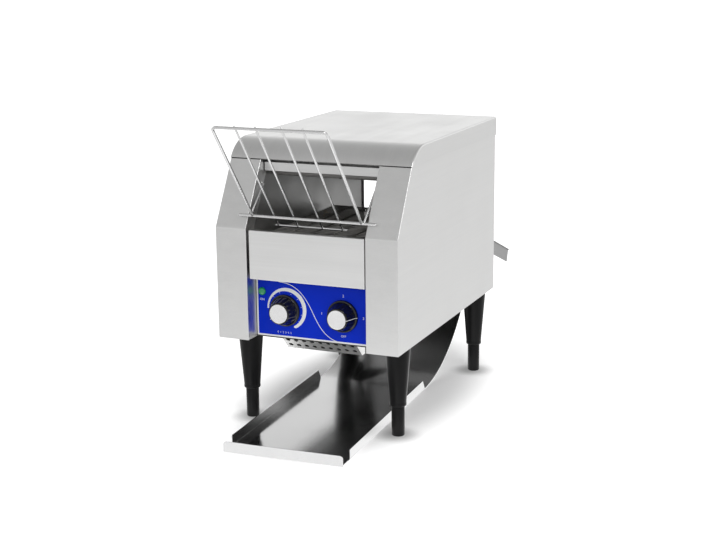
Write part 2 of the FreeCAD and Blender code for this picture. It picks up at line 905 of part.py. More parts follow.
tray_hollow = box(
    "tray_hollow",
    (-tray_half + s.sheet_gauge, tray_half - s.sheet_gauge),
    (tray_y[0] + s.sheet_gauge, tray_y[1] - s.sheet_gauge),
    (s.tray_floor + s.sheet_gauge, tray_z[1] + s.overrun),
)
node(cut("crumb_tray", tray_outside, [tray_hollow]), "crumb_tray")
runners = []
runner_y = (s.return_deep + s.seat_gap, tray_y[1] + s.runner_past_tray)
runner_top = s.tray_floor - s.seat_gap
for hand, side in hands.items():
    foot_x = pair(side, wall_in - s.runner_wide, wall_in)
    side_x = pair(side, wall_in - s.sheet_gauge, wall_in)
    shelf = box(f"runner_shelf_{hand}", foot_x, runner_y, (runner_top - s.sheet_gauge, runner_top))
    back = box(f"runner_back_{hand}", side_x, runner_y, (runner_top - s.runner_high, runner_top))
    runners.append(fuse(f"runner_{hand}", [shelf, back]))
node(group("tray_runners", runners), "tray_runners")

# Heating tubes and their ceramic end caps outside the inner walls
tube_end = wall_out + s.heater_past_wall
for label, high in (("upper_heaters", s.upper_heater_high), ("lower_heaters", s.shaft_high)):
    tubes = []
    for number, depth in enumerate(heater_depths):
        tubes.append(rod(f"{label}_{number}", s.heater_radius, tube_end * 2, (-tube_end, depth, high), "X"))
    node(group(label, tubes), label)
caps = []
cap_bore_radius = s.heater_radius + s.running_gap
cap_bore_long = tube_end + s.seat_gap - wall_out + s.overrun
for number, (depth, high) in enumerate(heater_places):
    for hand, side in hands.items():
        cap_start = pair(side, wall_out, wall_out + s.cap_long)[0]
        cap = rod(f"cap_{hand}_{number}", s.cap_radius, s.cap_long, (cap_start, depth, high), "X")
        bore_start = pair(side, wall_out - s.overrun, tube_end + s.seat_gap)[0]
        bore_at = (bore_start, depth, high)
        bore = rod(f"cap_bore_{hand}_{number}", cap_bore_radius, cap_bore_long, bore_at, "X")
        caps.append(cut(f"end_cap_{hand}_{number}", cap, [bore]))
node(group("heater_caps", caps), "heater_caps")


def racetrack(front, rear, radius):
    """Loop of two straight runs and two half rounds, in the plane of depth and height."""
    away = Vector(0, rear[0] - front[0], rear[1] - front[1])
    away.normalize()
    up = Vector(0, -away.z, away.y) * radius
    ends = [Vector(0, front[0], front[1]), Vector(0, rear[0], rear[1])]
    top = Part.LineSegment(ends[0] + up, ends[1] + up).toShape()
    rear_round = Part.Arc(ends[1] + up, ends[1] + away * radius, ends[1] - up).toShape()
    low = Part.LineSegment(ends[1] - up, ends[0] - up).toShape()
    front_round = Part.Arc(ends[0] - up, ends[0] - away * radius, ends[0] + up).toShape()
    return Part.Wire([top, rear_round, low, front_round])


def loop_band(front, rear, inner, outer, start, thick):
    """Band between two racetracks, raised along x."""
    edges = [racetrack(front, rear, outer), racetrack(front, rear, inner)]
    face = Part.makeFace(edges, "Part::FaceMakerBullseye")
    band = face.extrude(Vector(thick, 0, 0))
    band.translate(Vector(start, 0, 0))
    return band


def loop_steps(front, rear, radius, pitch, teeth, run):
    """Evenly spaced stations round a racetrack: place and direction of travel at each."""
    away = Vector(0, rear[0] - front[0], rear[1] - front[1])
    away.normalize()
    up = Vector(0, -away.z, away.y)
    stations = []
    for step in range(run):
        along = away * (pitch * (step + 0.5))
        stations.append((Vector(0, front[0], front[1]) + along + up * radius, away))
        stations.append((Vector(0, front[0], front[1]) + along - up * radius, away * -1))
    for step in range(teeth // 2):
        angle = math.pi * (step + 0.5) / (teeth // 2)
        outward = up * math.cos(angle) + away * math.sin(angle)
        travel = away * math.cos(angle) - up * math.sin(angle)
        stations.append((Vector(0, rear[0], rear[1]) + outward * radius, travel))
        stations.append((Vector(0, front[0], front[1]) - outward * radius, travel * -1))
    return stations


# Belt: strands along the travel, joined by cross bars that lie over the sprocket teeth. Its two straight
# runs and two half rounds are solids of their own that meet face to face over the shafts
def belt_shape():
    front = (s.idler_back.value, s.shaft_high.value)
    rear = (drive_back.value, s.shaft_high.value)
    half_gauge = s.belt_gauge.value / 2
    bar = s.belt_bar.value
    inner = s.belt_round.value - half_gauge
    outer = s.belt_round.value + half_gauge
    zones = int(s.belt_zone_count.value)
    zone_wide = (belt_half.value * 2 - s.belt_gauge.value) / zones
    parts = []
    for strand in range(zones + 1):
        start = -belt_half.value + zone_wide * strand
        parts.append(loop_band(front, rear, inner, outer, start, s.belt_gauge.value))
    teeth = int(s.sprocket_tooth_count.value)
    run = int(s.belt_run_count.value)
    for place, travel in loop_steps(front, rear, s.belt_round.value, belt_pitch.value, teeth, run):
        upright = Vector(1, 0, 0).cross(travel)
        corner = place - (travel + upright) * (bar / 2)
        corner.x = -belt_half.value + half_gauge
        across = Vector(belt_half.value * 2 - s.belt_gauge.value, 0, 0)
        steps = (Vector(), travel * bar, (travel + upright) * bar, upright * bar, Vector())
        edge = Part.makePolygon([corner + step for step in steps])
        parts.append(Part.Face(edge).extrude(across))
    belt = parts[0].fuse(parts[1:])
    reach = outer * 2
    front_end, rear_end = front[0] - reach, rear[0] + reach
    low_end, middle, high_end = front[1] - reach, front[1], front[1] + reach
    windows = [
        (front[0], rear[0], middle, high_end),
        (front[0], rear[0], low_end, middle),
        (front_end, front[0], low_end, high_end),
        (rear[0], rear_end, low_end, high_end),
    ]
    stretches = []
    for near, far, low, high in windows:
        corner = Vector(-belt_half.value, near, low)
        window = Part.makeBox(belt_half.value * 2, far - near, high - low, corner)
        stretches.append(belt.common(window).Solids[0])
    return Part.makeCompound(stretches)


node(shaped("conveyor_belt", belt_shape()), "conveyor_belt")


# Toothed wheels: a disc with a bore, one tooth on its rim, and that tooth repeated round it
def ring_sketch(body, outer, bore):
    sketch = body.newObject("Sketcher::SketchObject", body.Name + "_disc")
    plane = next(feature for feature in body.Origin.OriginFeatures if feature.Role == "YZ_Plane")
    sketch.AttachmentSupport = [(plane, "")]
    sketch.MapMode = "FlatFace"
    for radius in (outer, bore):
        circle = sketch.addGeometry(Part.Circle(Vector(), Vector(0, 0, 1), radius.value), False)
        sketch.addConstraint(Sketcher.Constraint("Coincident", circle, 3, -1, 1))
        number = sketch.addConstraint(Sketcher.Constraint("Radius", circle, radius.value))
        sketch.setExpression(f"Constraints[{number}]", radius.text)
    return sketch


def padded(body, sketch, start, thick):
    bind(sketch, "AttachmentOffset.Base.z", start)
    pad = body.newObject("PartDesign::Pad", body.Name + "_pad")
    pad.Profile = sketch
    bind(pad, "Length", thick)
    return pad


def toothed(name, teeth, rim, root_wide, thick, bore, start):
    """Wheel with its teeth between the two radii of its rim."""
    root, tip, tip_wide = rim
    body = doc.addObject("PartDesign::Body", name)
    disc = ring_sketch(body, root, bore)
    padded(body, disc, start, thick).Refine = False
    foot = root - s.overrun
    corners = [
        (foot, -root_wide / 2),
        (root, -root_wide / 2),
        (tip, -tip_wide / 2),
        (tip, tip_wide / 2),
        (root, root_wide / 2),
        (foot, root_wide / 2),
    ]
    tooth = padded(body, outline(body, "YZ_Plane", corners), start, thick)
    tooth.Refine = False
    ring = body.newObject("PartDesign::PolarPattern", name + "_teeth")
    ring.Originals = [tooth]
    ring.Axis = (disc, ["N_Axis"])
    ring.Angle = 2 * half_turn
    bind(ring, "Occurrences", teeth)
    ring.Refine = False
    body.Tip = ring
    return body


shaft_end = wall_out + s.shaft_past_wall
sprocket_zone = (belt_half * 2 - s.belt_gauge) / s.belt_zone_count
sprocket_bore = s.shaft_radius + s.press_gap
sprocket_tip = s.belt_round - s.belt_gauge / 2 - s.seat_gap
sprocket_root = sprocket_tip - s.sprocket_tooth_high
half_tooth_step = half_turn / s.sprocket_tooth_count
sprocket_zone_shares = {"left": -2, "middle": 0, "right": 2}
wheel_end = wheel_in + s.wheel_thick
chain_round = s.chain_pitch / 2 / sine(half_turn / s.wheel_tooth_count)
wheel_tip = chain_round - s.roller_radius - s.seat_gap
wheel_root = wheel_tip - s.wheel_tooth_high
chain_angle = arctangent(chain_drop, s.motor_ahead)


def sprocket_set(label, depth):
    wheels = []
    for place, zone in sprocket_zone_shares.items():
        start = sprocket_zone * zone - s.sprocket_thick / 2
        wheel = toothed(
            f"{label}_{place}",
            s.sprocket_tooth_count,
            (sprocket_root, sprocket_tip, s.tooth_tip_wide),
            s.tooth_root_wide,
            s.sprocket_thick,
            sprocket_bore,
            start,
        )
        wheel.Placement.Rotation = Rotation(Vector(1, 0, 0), half_tooth_step.value)
        bind(wheel, "Placement.Rotation.Angle", half_tooth_step)
        wheels.append(put(wheel, 0, depth, s.shaft_high))
    node(group(label, wheels), label)


def chain_wheel(label, depth, high, bore):
    wheel = toothed(
        label,
        s.wheel_tooth_count,
        (wheel_root, wheel_tip, s.wheel_tip_wide),
        s.wheel_root_wide,
        s.wheel_thick,
        bore,
        wheel_in,
    )
    wheel.Placement.Rotation = Rotation(Vector(1, 0, 0), chain_angle.value)
    bind(wheel, "Placement.Rotation.Angle", chain_angle)
    node(put(wheel, 0, depth, high), label)


sprocket_set("drive_sprockets", drive_back)
sprocket_set("idler_sprockets", s.idler_back)
drive_end = wheel_end + s.shaft_past_wall
drive_at = (-shaft_end, drive_back, s.shaft_high)
idler_at = (-shaft_end, s.idler_back, s.shaft_high)
node(rod("drive_shaft", s.shaft_radius, shaft_end + drive_end, drive_at, "X"), "drive_shaft")
node(rod("idler_shaft", s.shaft_radius, shaft_end * 2, idler_at, "X"), "idler_shaft")
chain_wheel("driven_wheel", drive_back, s.shaft_high, s.shaft_radius + s.press_gap)
chain_wheel("motor_wheel", motor_back, motor_high, s.motor_shaft_radius + s.press_gap)


def shaft_bush(label, side, depth):
    """Flanged bush pressed into an inner wall from outside."""
    neck = s.sheet_gauge * 2
    points = [
        (s.shaft_radius + s.running_gap, -neck),
        (s.bush_radius, -neck),
        (s.bush_radius, 0),
        (s.bush_flange, 0),
        (s.bush_flange, s.bush_flange_thick),
        (s.shaft_radius + s.running_gap, s.bush_flange_thick),
    ]
    turn = "X" if side > 0 else "left"
    start = wall_out if side > 0 else -wall_out
    node(turned(label, points, turn, (start, depth, s.shaft_high)), label)


for end, depth in (("front", s.idler_back), ("rear", drive_back)):
    shaft_bush(f"bush_{end}_right", 1, depth)
    shaft_bush(f"bush_{end}_left", -1, depth)


# Chain: two side plates' bands and a roller at every pitch
def chain_shape():
    front = (motor_back.value, motor_high.value)
    rear = (drive_back.value, s.shaft_high.value)
    radius = chain_round.value
    inner = radius - s.link_high.value / 2
    outer = radius + s.link_high.value / 2
    gauge = s.link_gauge.value
    low = wheel_in.value - s.seat_gap.value
    high = wheel_end.value + s.seat_gap.value
    parts = [
        loop_band(front, rear, inner, outer, low - gauge, gauge),
        loop_band(front, rear, inner, outer, high, gauge),
    ]
    teeth = int(s.wheel_tooth_count.value)
    run = int(s.chain_run_count.value)
    for place, travel in loop_steps(front, rear, radius, s.chain_pitch.value, teeth, run):
        start = Vector(low, place.y, place.z)
        parts.append(Part.makeCylinder(s.roller_radius.value, high - low, start, Vector(1, 0, 0)))
    return Part.makeCompound(parts)


node(shaped("drive_chain", chain_shape()), "drive_chain")

# Gear motor on its bracket, its output shaft through the right inner wall
bracket_in = wall_in - s.bracket_gauge
bracket_foot_x = (bracket_in - s.bracket_foot, wall_in)
bracket_y = (motor_back - s.bracket_wide / 2, motor_back + s.bracket_wide / 2)
bracket_parts = [
    box("bracket_plate", (bracket_in, wall_in), bracket_y, (base_top, s.bracket_high)),
    box("bracket_foot", bracket_foot_x, bracket_y, (base_top, base_top + s.bracket_gauge)),
]
bracket_hole = rod(
    "bracket_hole",
    s.motor_shaft_radius + s.hole_gap,
    s.bracket_gauge + s.overrun * 2,
    (bracket_in - s.overrun, motor_back, motor_high),
    "X",
)
node(cut("motor_bracket", fuse("bracket_form", bracket_parts), [bracket_hole]), "motor_bracket")
gearbox_in = bracket_in - s.gearbox_long
motor_in = gearbox_in - s.motor_long


def around(middle, size):
    return (middle - size / 2, middle + size / 2)


def motor_block(name, x, size):
    return box(name, x, around(motor_back, size), around(motor_high, size))


motor_parts = [
    motor_block("gearbox", (gearbox_in, bracket_in), s.gearbox_size),
    motor_block("motor_stack", (motor_in, gearbox_in), s.motor_size),
    rod("motor_rotor", s.rotor_radius, s.rotor_out, (motor_in - s.rotor_out, motor_back, motor_high), "X"),
]
motor_bore = rod(
    "motor_bore",
    s.motor_shaft_radius + s.running_gap,
    s.gearbox_long,
    (gearbox_in + s.overrun, motor_back, motor_high),
    "X",
)
node(cut("gear_motor", fuse("motor_form", motor_parts), [motor_bore]), "gear_motor")
motor_shaft_in = gearbox_in + s.overrun * 2
node(
    rod(
        "motor_shaft",
        s.motor_shaft_radius,
        wheel_end + s.overrun - motor_shaft_in,
        (motor_shaft_in, motor_back, motor_high),
        "X",
    ),
    "motor_shaft",
)


# Knobs: a skirt, a tapering grip and a bright disc let into the nose
def knob(label, side):
    at = (side * knob_out, s.panel_back, s.knob_high)
    bore = s.spindle_radius + s.press_gap
    nose = s.knob_gap + s.knob_long
    recess = nose - s.knob_cap_thick + s.knob_cap_proud
    skirt = s.knob_gap + s.skirt_thick
    grip = [
        (bore, s.knob_gap),
        (s.skirt_radius, s.knob_gap),
        (s.skirt_radius, skirt),
        (s.knob_radius, skirt),
        (s.knob_nose, nose),
        (s.knob_cap_radius + s.running_gap, nose),
        (s.knob_cap_radius + s.running_gap, recess),
        (0, recess),
        (0, s.spindle_in_knob),
        (bore, s.spindle_in_knob),
    ]
    node(turned(label, grip, "forward", at), label)
    disc = [
        (0, recess),
        (s.knob_cap_radius, recess),
        (s.knob_cap_radius, recess + s.knob_cap_thick),
        (0, recess + s.knob_cap_thick),
    ]
    node(turned(label + "_cap", disc, "forward", at), label + "_cap")


def spindle(label, side):
    length = s.spindle_in_knob + s.label_gauge + s.sheet_gauge + s.spindle_in_switch
    start = s.panel_back - s.spindle_in_knob
    node(rod(label, s.spindle_radius, length, (side * knob_out, start, s.knob_high), "Y"), label)


def control(label, side, wide, long):
    """Switch or regulator behind the panel, with the bearing bore of its spindle."""
    back_of_panel = panel_front + s.sheet_gauge
    case = box(
        label + "_case",
        around(side * knob_out, wide),
        (back_of_panel, back_of_panel + long),
        around(s.knob_high, wide),
    )
    bore = rod(
        label + "_bore",
        s.spindle_radius + s.running_gap,
        s.spindle_in_switch + s.seat_gap + s.overrun,
        (side * knob_out, back_of_panel - s.overrun, s.knob_high),
        "Y",
    )
    node(cut(label, case, [bore]), label)


knob("speed_knob", -1)
knob("selector_knob", 1)
spindle("speed_spindle", -1)
spindle("selector_spindle", 1)
control("speed_control", -1, s.control_wide, s.control_long)
control("selector_switch", 1, s.switch_wide, s.switch_long)

# Indicator lamp: a lens cut from a ball, with a neck through the panel, and its holder behind
ball_radius = (s.lamp_radius * s.lamp_radius + s.lamp_dome * s.lamp_dome) / (s.lamp_dome * 2)
ball_sink = ball_radius - s.lamp_dome
dome = doc.addObject("Part::Sphere", "lamp_dome")
bind(dome, "Radius", ball_radius)
bind(dome, "Angle1", arctangent(ball_sink, s.lamp_radius))
dome.Placement.Rotation = turns["forward"]
put(dome, -lamp_out, s.panel_back + ball_sink, s.lamp_high)
neck_at = (-lamp_out, s.panel_back, s.lamp_high)
neck = rod("lamp_neck", s.lamp_neck, s.label_gauge + s.sheet_gauge, neck_at, "Y")
node(fuse("power_lamp", [dome, neck]), "power_lamp")
holder_at = (-lamp_out, panel_front + s.sheet_gauge, s.lamp_high)
node(rod("lamp_holder", s.holder_radius, s.holder_long, holder_at, "Y"), "lamp_holder")

# Feed rack: a hoop and its cross bar, with two arms that hook into the column returns
rack_tilt = quarter_turn - s.rack_lean_angle
hoop_side = s.rack_long - s.rack_bend
hoop_parts = []
bend_turns = {
    "right": Rotation(Vector(1, 0, 0), quarter_turn),
    "left": Rotation(Vector(0, 1, 0), -quarter_turn) * Rotation(Vector(1, 0, 0), quarter_turn),
}
for hand, side in hands.items():
    hoop_parts.append(rod(f"hoop_side_{hand}", s.rack_wire, hoop_side, (side * rack_half, 0, 0)))
    bend = doc.addObject("Part::Torus", f"hoop_bend_{hand}")
    bind(bend, "Radius1", s.rack_bend)
    bind(bend, "Radius2", s.rack_wire)
    bend.Angle3 = quarter_turn
    bend.Placement.Rotation = bend_turns[hand]
    hoop_parts.append(put(bend, side * (rack_half - s.rack_bend), 0, hoop_side))
top_half = rack_half - s.rack_bend
hoop_parts.append(rod("hoop_top", s.rack_wire, top_half * 2, (-top_half, 0, s.rack_long), "X"))
hoop = fuse("rack_hoop", hoop_parts)
hoop.Placement.Rotation = Rotation(Vector(1, 0, 0), rack_tilt.value)
bind(hoop, "Placement.Rotation.Angle", rack_tilt)
put(hoop, 0, rack_back, s.rack_rest_high)
rest_half = column_in + s.rack_rest_lap
rest_at = (-rest_half, rack_back, s.rack_rest_high)
frame_parts = [hoop, rod("rest_bar", s.rack_wire, rest_half * 2, rest_at, "X")]
for hand, side in hands.items():
    arm = rod(f"arm_{hand}", s.rack_thin_wire, s.arm_long, (side * arm_out, rack_back, s.rack_rest_high))
    arm_turn = quarter_turn - s.arm_rise_angle
    arm.Placement.Rotation = Rotation(Vector(-1, 0, 0), arm_turn.value)
    bind(arm, "Placement.Rotation.Angle", arm_turn)
    elbow = doc.addObject("Part::Sphere", f"elbow_{hand}")
    bind(elbow, "Radius", s.rack_thin_wire)
    put(elbow, side * arm_out, pivot_back, pivot_high)
    pin_x = pair(side, arm_out, wall_out + s.sheet_gauge)
    pin = rod(f"pin_{hand}", s.rack_thin_wire, pin_x[1] - pin_x[0], (pin_x[0], pivot_back, pivot_high), "X")
    frame_parts += [arm, elbow, pin]
node(fuse("rack_frame", frame_parts), "rack_frame")

# Wires of the rack, welded on the inner side of its bars
wire_out = s.rack_wire + s.rack_thin_wire - s.rack_weld
wire_long = s.rack_long + s.rack_nub + s.rack_tail
wire_parts = []
for number, x in enumerate((-s.rack_wire_out, -s.rack_wire_in, s.rack_wire_in, s.rack_wire_out)):
    wire_parts.append(rod(f"rack_wire_{number}", s.rack_thin_wire, wire_long, (x, wire_out, -s.rack_tail)))
low_half = s.rack_wire_out + s.rack_low_lap
low_at = (-low_half, wire_out, -s.rack_tail)
wire_parts.append(rod("rack_low_bar", s.rack_thin_wire, low_half * 2, low_at, "X"))
wires = fuse("rack_wires", wire_parts)
wires.Placement.Rotation = Rotation(Vector(1, 0, 0), rack_tilt.value)
bind(wires, "Placement.Rotation.Angle", rack_tilt)
put(wires, 0, rack_back, s.rack_rest_high)
node(wires, "rack_wires")

# Chute: a flat tray with turned-up edges, carried on as an arc behind the housing
chute_x = (-chute_half, chute_half)
chute_parts = [box("chute_floor", chute_x, (-s.chute_front, chute_flat_end), (0, s.chute_gauge))]
lip = prism(
    "chute_lip",
    "XZ_Plane",
    [(-chute_half, 0), (chute_half, 0), (chute_half, s.lip_high), (-chute_half, s.lip_high)],
    s.chute_front - s.chute_gauge,
    s.chute_front,
)
chute_parts.append(soften(lip, s.lip_round, Vector(0, 1, 0), lambda p: same(p.z, s.lip_high)))
flange_front = s.flange_start - s.chute_front
edge_points = [
    (flange_front, 0),
    (chute_flat_end, 0),
    (chute_flat_end - s.flange_slope, s.lip_high),
    (flange_front, s.lip_high),
]
for hand, side in hands.items():
    edge_x = pair(side, chute_half - s.chute_gauge, chute_half)
    chute_parts.append(prism(f"chute_edge_{hand}", "YZ_Plane", edge_points, *edge_x))


def chute_sector(name, radius, start, wide):
    sector = rod(name, radius, wide, (start, chute_flat_end, s.chute_bend), "X")
    bind(sector, "Angle", s.chute_angle)
    return sector


bend_outer = chute_sector("bend_outer", s.chute_bend, -chute_half, chute_half * 2)
bend_inner = chute_sector(
    "bend_inner",
    s.chute_bend - s.chute_gauge,
    -chute_half - s.overrun,
    chute_half * 2 + s.overrun * 2,
)
chute_parts.append(cut("chute_bend", bend_outer, [bend_inner]))
# It lies loose on the table, turned a little about a point between the front legs
chute = fuse("chute", chute_parts)
chute.Placement.Rotation = Rotation(Vector(0, 0, 1), s.chute_turn_angle.value)
bind(chute, "Placement.Rotation.Angle", s.chute_turn_angle)
turn_ahead = s.chute_turn_deep * cosine(s.chute_turn_angle)
put(chute, s.chute_turn_deep * sine(s.chute_turn_angle), s.chute_turn_deep - turn_ahead, 0)
node(chute, "chute")

# Legs and the feet that screw out of them
leg_out = body_half - s.leg_inset
leg_rear = s.body_deep - s.leg_rear_inset
leg_places = {
    "front_left": (-leg_out, s.leg_front),
    "front_right": (leg_out, s.leg_front),
    "rear_left": (-leg_out, leg_rear),
    "rear_right": (leg_out, leg_rear),
}
for corner, (x, depth) in leg_places.items():
    stem_bore = s.stem_radius + s.running_gap
    bore_top = s.leg_step + s.stem_long + s.stem_room
    leg_points = [
        (stem_bore, s.leg_step),
        (s.leg_low_radius, s.leg_step),
        (s.leg_top_radius, s.floor_high),
        (0, s.floor_high),
        (0, bore_top),
        (stem_bore, bore_top),
    ]
    node(turned(f"leg_{corner}", leg_points, "Z", (x, depth, 0)), f"leg_{corner}")
    foot_points = [
        (0, 0),
        (s.foot_radius - s.foot_chamfer, 0),
        (s.foot_radius, s.foot_chamfer),
        (s.foot_radius, s.leg_step),
        (s.stem_radius, s.leg_step),
        (s.stem_radius, s.leg_step + s.stem_long),
        (0, s.leg_step + s.stem_long),
    ]
    node(turned(f"foot_{corner}", foot_points, "Z", (x, depth, 0)), f"foot_{corner}")

# Mains inlet: a gland through the rear panel, and the terminal block on the floor
gland_points = [
    (s.gland_bore, -s.gland_in_long),
    (s.gland_neck, -s.gland_in_long),
    (s.gland_neck, 0),
    (s.gland_nut, 0),
    (s.gland_nut, s.gland_nut_long),
    (s.gland_neck, s.gland_nut_long + s.overrun),
    (s.gland_neck, s.gland_out_long),
    (s.gland_bore, s.gland_out_long),
]
gland_at = (gland_out, s.body_deep - s.sheet_gauge, s.gland_high)
node(turned("cable_gland", gland_points, "Y", gland_at), "cable_gland")
terminal_rear = s.body_deep - s.terminal_rear_inset
terminal_x = around(body_half - s.terminal_inset, s.terminal_deep)
terminal_y = (terminal_rear - s.terminal_long, terminal_rear)
terminal_z = (base_top, base_top + s.terminal_high)
node(box("terminal_block", terminal_x, terminal_y, terminal_z), "terminal_block")


# Screws: pan heads on the outside, shanks through the sheets
def screw(name, x, face, high):
    points = [
        (0, -s.screw_long),
        (s.screw_radius, -s.screw_long),
        (s.screw_radius, 0),
        (s.screw_head, 0),
        (s.screw_head, s.screw_head_thick / 2),
        (s.screw_radius, s.screw_head_thick),
        (0, s.screw_head_thick),
    ]
    return turned(name, points, "Y", (x, face, high))


cover_screws = []
for index, x in enumerate(cover_screw_x):
    cover_screws.append(screw(f"cover_screw_{index}", x, cover_face, s.cover_screw_high))
node(group("cover_screws", cover_screws), "cover_screws")
panel_screws = []
for hand, side in hands.items():
    for step in panel_screw_steps:
        x, high = panel_screw_place(side, step)
        panel_screws.append(screw(f"panel_screw_{hand}_{step}", x, s.body_deep, high))
node(group("panel_screws", panel_screws), "panel_screws")

# Every object is sound before anything is written
doc.recompute()
for item in doc.Objects:
    if "Invalid" in item.State or "Error" in item.State:
        raise RuntimeError(f"{item.Label} failed: {item.State}")
os.makedirs("parts", exist_ok=True)
for item in nodes:
    if item.Shape.isNull() or not item.Shape.isValid() or not item.Shape.Solids:
        raise RuntimeError(f"{item.Label} has no sound shape")
for item in nodes:
    item.Shape.exportStep(f"parts/{item.Label}.step")
print(len(nodes), "sub-parts written")
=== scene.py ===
import json
import math

import bmesh
import bpy
import numpy as np
from mathutils import Matrix, Vector


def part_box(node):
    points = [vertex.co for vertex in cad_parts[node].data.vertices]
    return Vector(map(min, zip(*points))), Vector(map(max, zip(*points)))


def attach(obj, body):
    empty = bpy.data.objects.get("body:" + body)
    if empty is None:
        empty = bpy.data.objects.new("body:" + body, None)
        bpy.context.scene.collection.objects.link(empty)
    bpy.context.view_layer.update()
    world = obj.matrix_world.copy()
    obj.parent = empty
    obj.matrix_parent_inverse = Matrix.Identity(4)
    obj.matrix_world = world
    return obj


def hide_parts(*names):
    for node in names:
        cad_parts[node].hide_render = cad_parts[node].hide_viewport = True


# Conveyor toaster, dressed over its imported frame.
# Arrays hold millimetres as (x, depth, z): depth runs back from the face of the columns.

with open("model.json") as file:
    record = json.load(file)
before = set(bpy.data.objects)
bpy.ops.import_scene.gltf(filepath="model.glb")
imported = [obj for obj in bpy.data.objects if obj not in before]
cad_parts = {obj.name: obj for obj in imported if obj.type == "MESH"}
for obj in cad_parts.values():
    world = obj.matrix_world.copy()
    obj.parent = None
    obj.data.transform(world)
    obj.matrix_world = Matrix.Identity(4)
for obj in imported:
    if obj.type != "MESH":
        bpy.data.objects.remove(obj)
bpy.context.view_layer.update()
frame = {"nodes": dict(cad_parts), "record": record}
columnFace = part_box("side_panel_left")[0].y
print("frame loaded,", len(frame["nodes"]), "nodes")


# Shapes as arrays

def gridFaces(rows, cols, closeCols):
    # quad (i, j) joins grid point (i, j) to its next ones along both parameters
    i = np.arange(rows - 1)[:, None]
    j = np.arange(cols if closeCols else cols - 1)[None, :]
    nextI, nextJ = i + 1, (j + 1) % cols
    quads = [i * cols + j, i * cols + nextJ, nextI * cols + nextJ, nextI * cols + j]
    return np.stack(np.broadcast_arrays(*quads), axis=-1).reshape(-1, 4)


def sheetPatch(grid, closeCols=False):
    rows, cols = grid.shape[:2]
    return grid.reshape(-1, 3), gridFaces(rows, cols, closeCols)


def bentLine(corners, radius, steps=6):
    # straight runs with an arc of the radius at each inner corner: centre + r (turned from one tangent point
    # to the other), the arc's points spread evenly over the angle
    corners = [np.array(c, float) for c in corners]
    radii = radius if isinstance(radius, (list, tuple)) else [radius] * (len(corners) - 2)
    line = [corners[0]]
    for before, corner, after, r in zip(corners, corners[1:], corners[2:], radii):
        u = (before - corner) / np.linalg.norm(before - corner)
        v = (after - corner) / np.linalg.norm(after - corner)
        half = math.acos(np.clip(u @ v, -1, 1)) / 2
        middle = corner + (u + v) / np.linalg.norm(u + v) * r / math.sin(half)
        a = corner + u * r / math.tan(half) - middle
        b = corner + v * r / math.tan(half) - middle
        sweep = math.pi - 2 * half
        t = np.linspace(0, 1, steps + 1)[:, None]
        line.extend(middle + (a * np.sin((1 - t) * sweep) + b * np.sin(t * sweep)) / math.sin(sweep))
    line.append(corners[-1])
    return np.array(line)


def densified(line, longest):
    # the same line with no step longer than asked, by even division of its runs
    steps = np.linalg.norm(np.diff(line, axis=0), axis=1)
    counts = np.maximum(1, np.ceil(steps / longest).astype(int))
    starts = np.concatenate([[0.0], np.cumsum(steps)])
    marks = np.concatenate([np.linspace(a, b, n, endpoint=False)
                            for a, b, n in zip(starts, starts[1:], counts)])
    marks = np.append(marks, starts[-1])
    return np.stack([np.interp(marks, starts, line[:, k]) for k in range(line.shape[1])], axis=1)


def unit(vectors):
    return vectors / np.maximum(np.linalg.norm(vectors, axis=-1, keepdims=True), 1e-9)


def tubeGrid(line, radius, across, sides=12):
    # round wire: line + r (cos a * n + sin a * b), n from the given across direction, both ends domed
    tangent = unit(np.gradient(line, axis=-2))
    across = np.broadcast_to(np.array(across, float), line.shape)
    n = unit(across - (across * tangent).sum(-1, keepdims=True) * tangent)
    b = np.cross(tangent, n)
    dome = np.sin(np.linspace(0, math.pi / 2, 4))
    shrink = np.sqrt(1 - dome[::-1] ** 2)
    head = line[..., :1, :] - tangent[..., :1, :] * (dome[::-1] * radius)[:, None]
    tail = line[..., -1:, :] + tangent[..., -1:, :] * (dome * radius)[:, None]
    path = np.concatenate([head, line[..., 1:-1, :], tail], axis=-2)
    count = line.shape[-2] - 2
    index = np.concatenate([np.zeros(4, int), np.arange(1, count + 1), np.full(4, line.shape[-2] - 1)])
    size = radius * np.concatenate([shrink, np.ones(count), shrink[::-1]])
    turn = np.linspace(0, 2 * math.pi, sides, endpoint=False)
    ring = n[..., index, None, :] * np.cos(turn)[:, None] + b[..., index, None, :] * np.sin(turn)[:, None]
    return path[..., None, :] + ring * size[:, None, None]


def tubePatch(line, radius, across, sides=12):
    return sheetPatch(tubeGrid(line, radius, across, sides), closeCols=True)


def turnedPatch(profile, at, axis="up", sides=64, flutes=None):
    # profile of (radius, along) carried round the axis: at + along * axis + r (cos a * e1 + sin a * e2)
    frames = {"up": ((1, 0, 0), (0, 1, 0), (0, 0, 1)), "front": ((1, 0, 0), (0, 0, 1), (0, -1, 0)),
              "back": ((0, 0, 1), (1, 0, 0), (0, 1, 0))}
    e1, e2, e3 = (np.array(v, float) for v in frames[axis])
    profile = np.array(profile, float)
    turn = np.linspace(0, 2 * math.pi, sides, endpoint=False)
    r = profile[:, :1] * np.ones(sides)
    if flutes is not None:
        r = r * flutes(turn[None, :], profile[:, 1:])
    ring = e1 * np.cos(turn)[:, None] + e2 * np.sin(turn)[:, None]
    return sheetPatch(np.array(at, float) + profile[:, 1:, None] * e3 + r[..., None] * ring, closeCols=True)


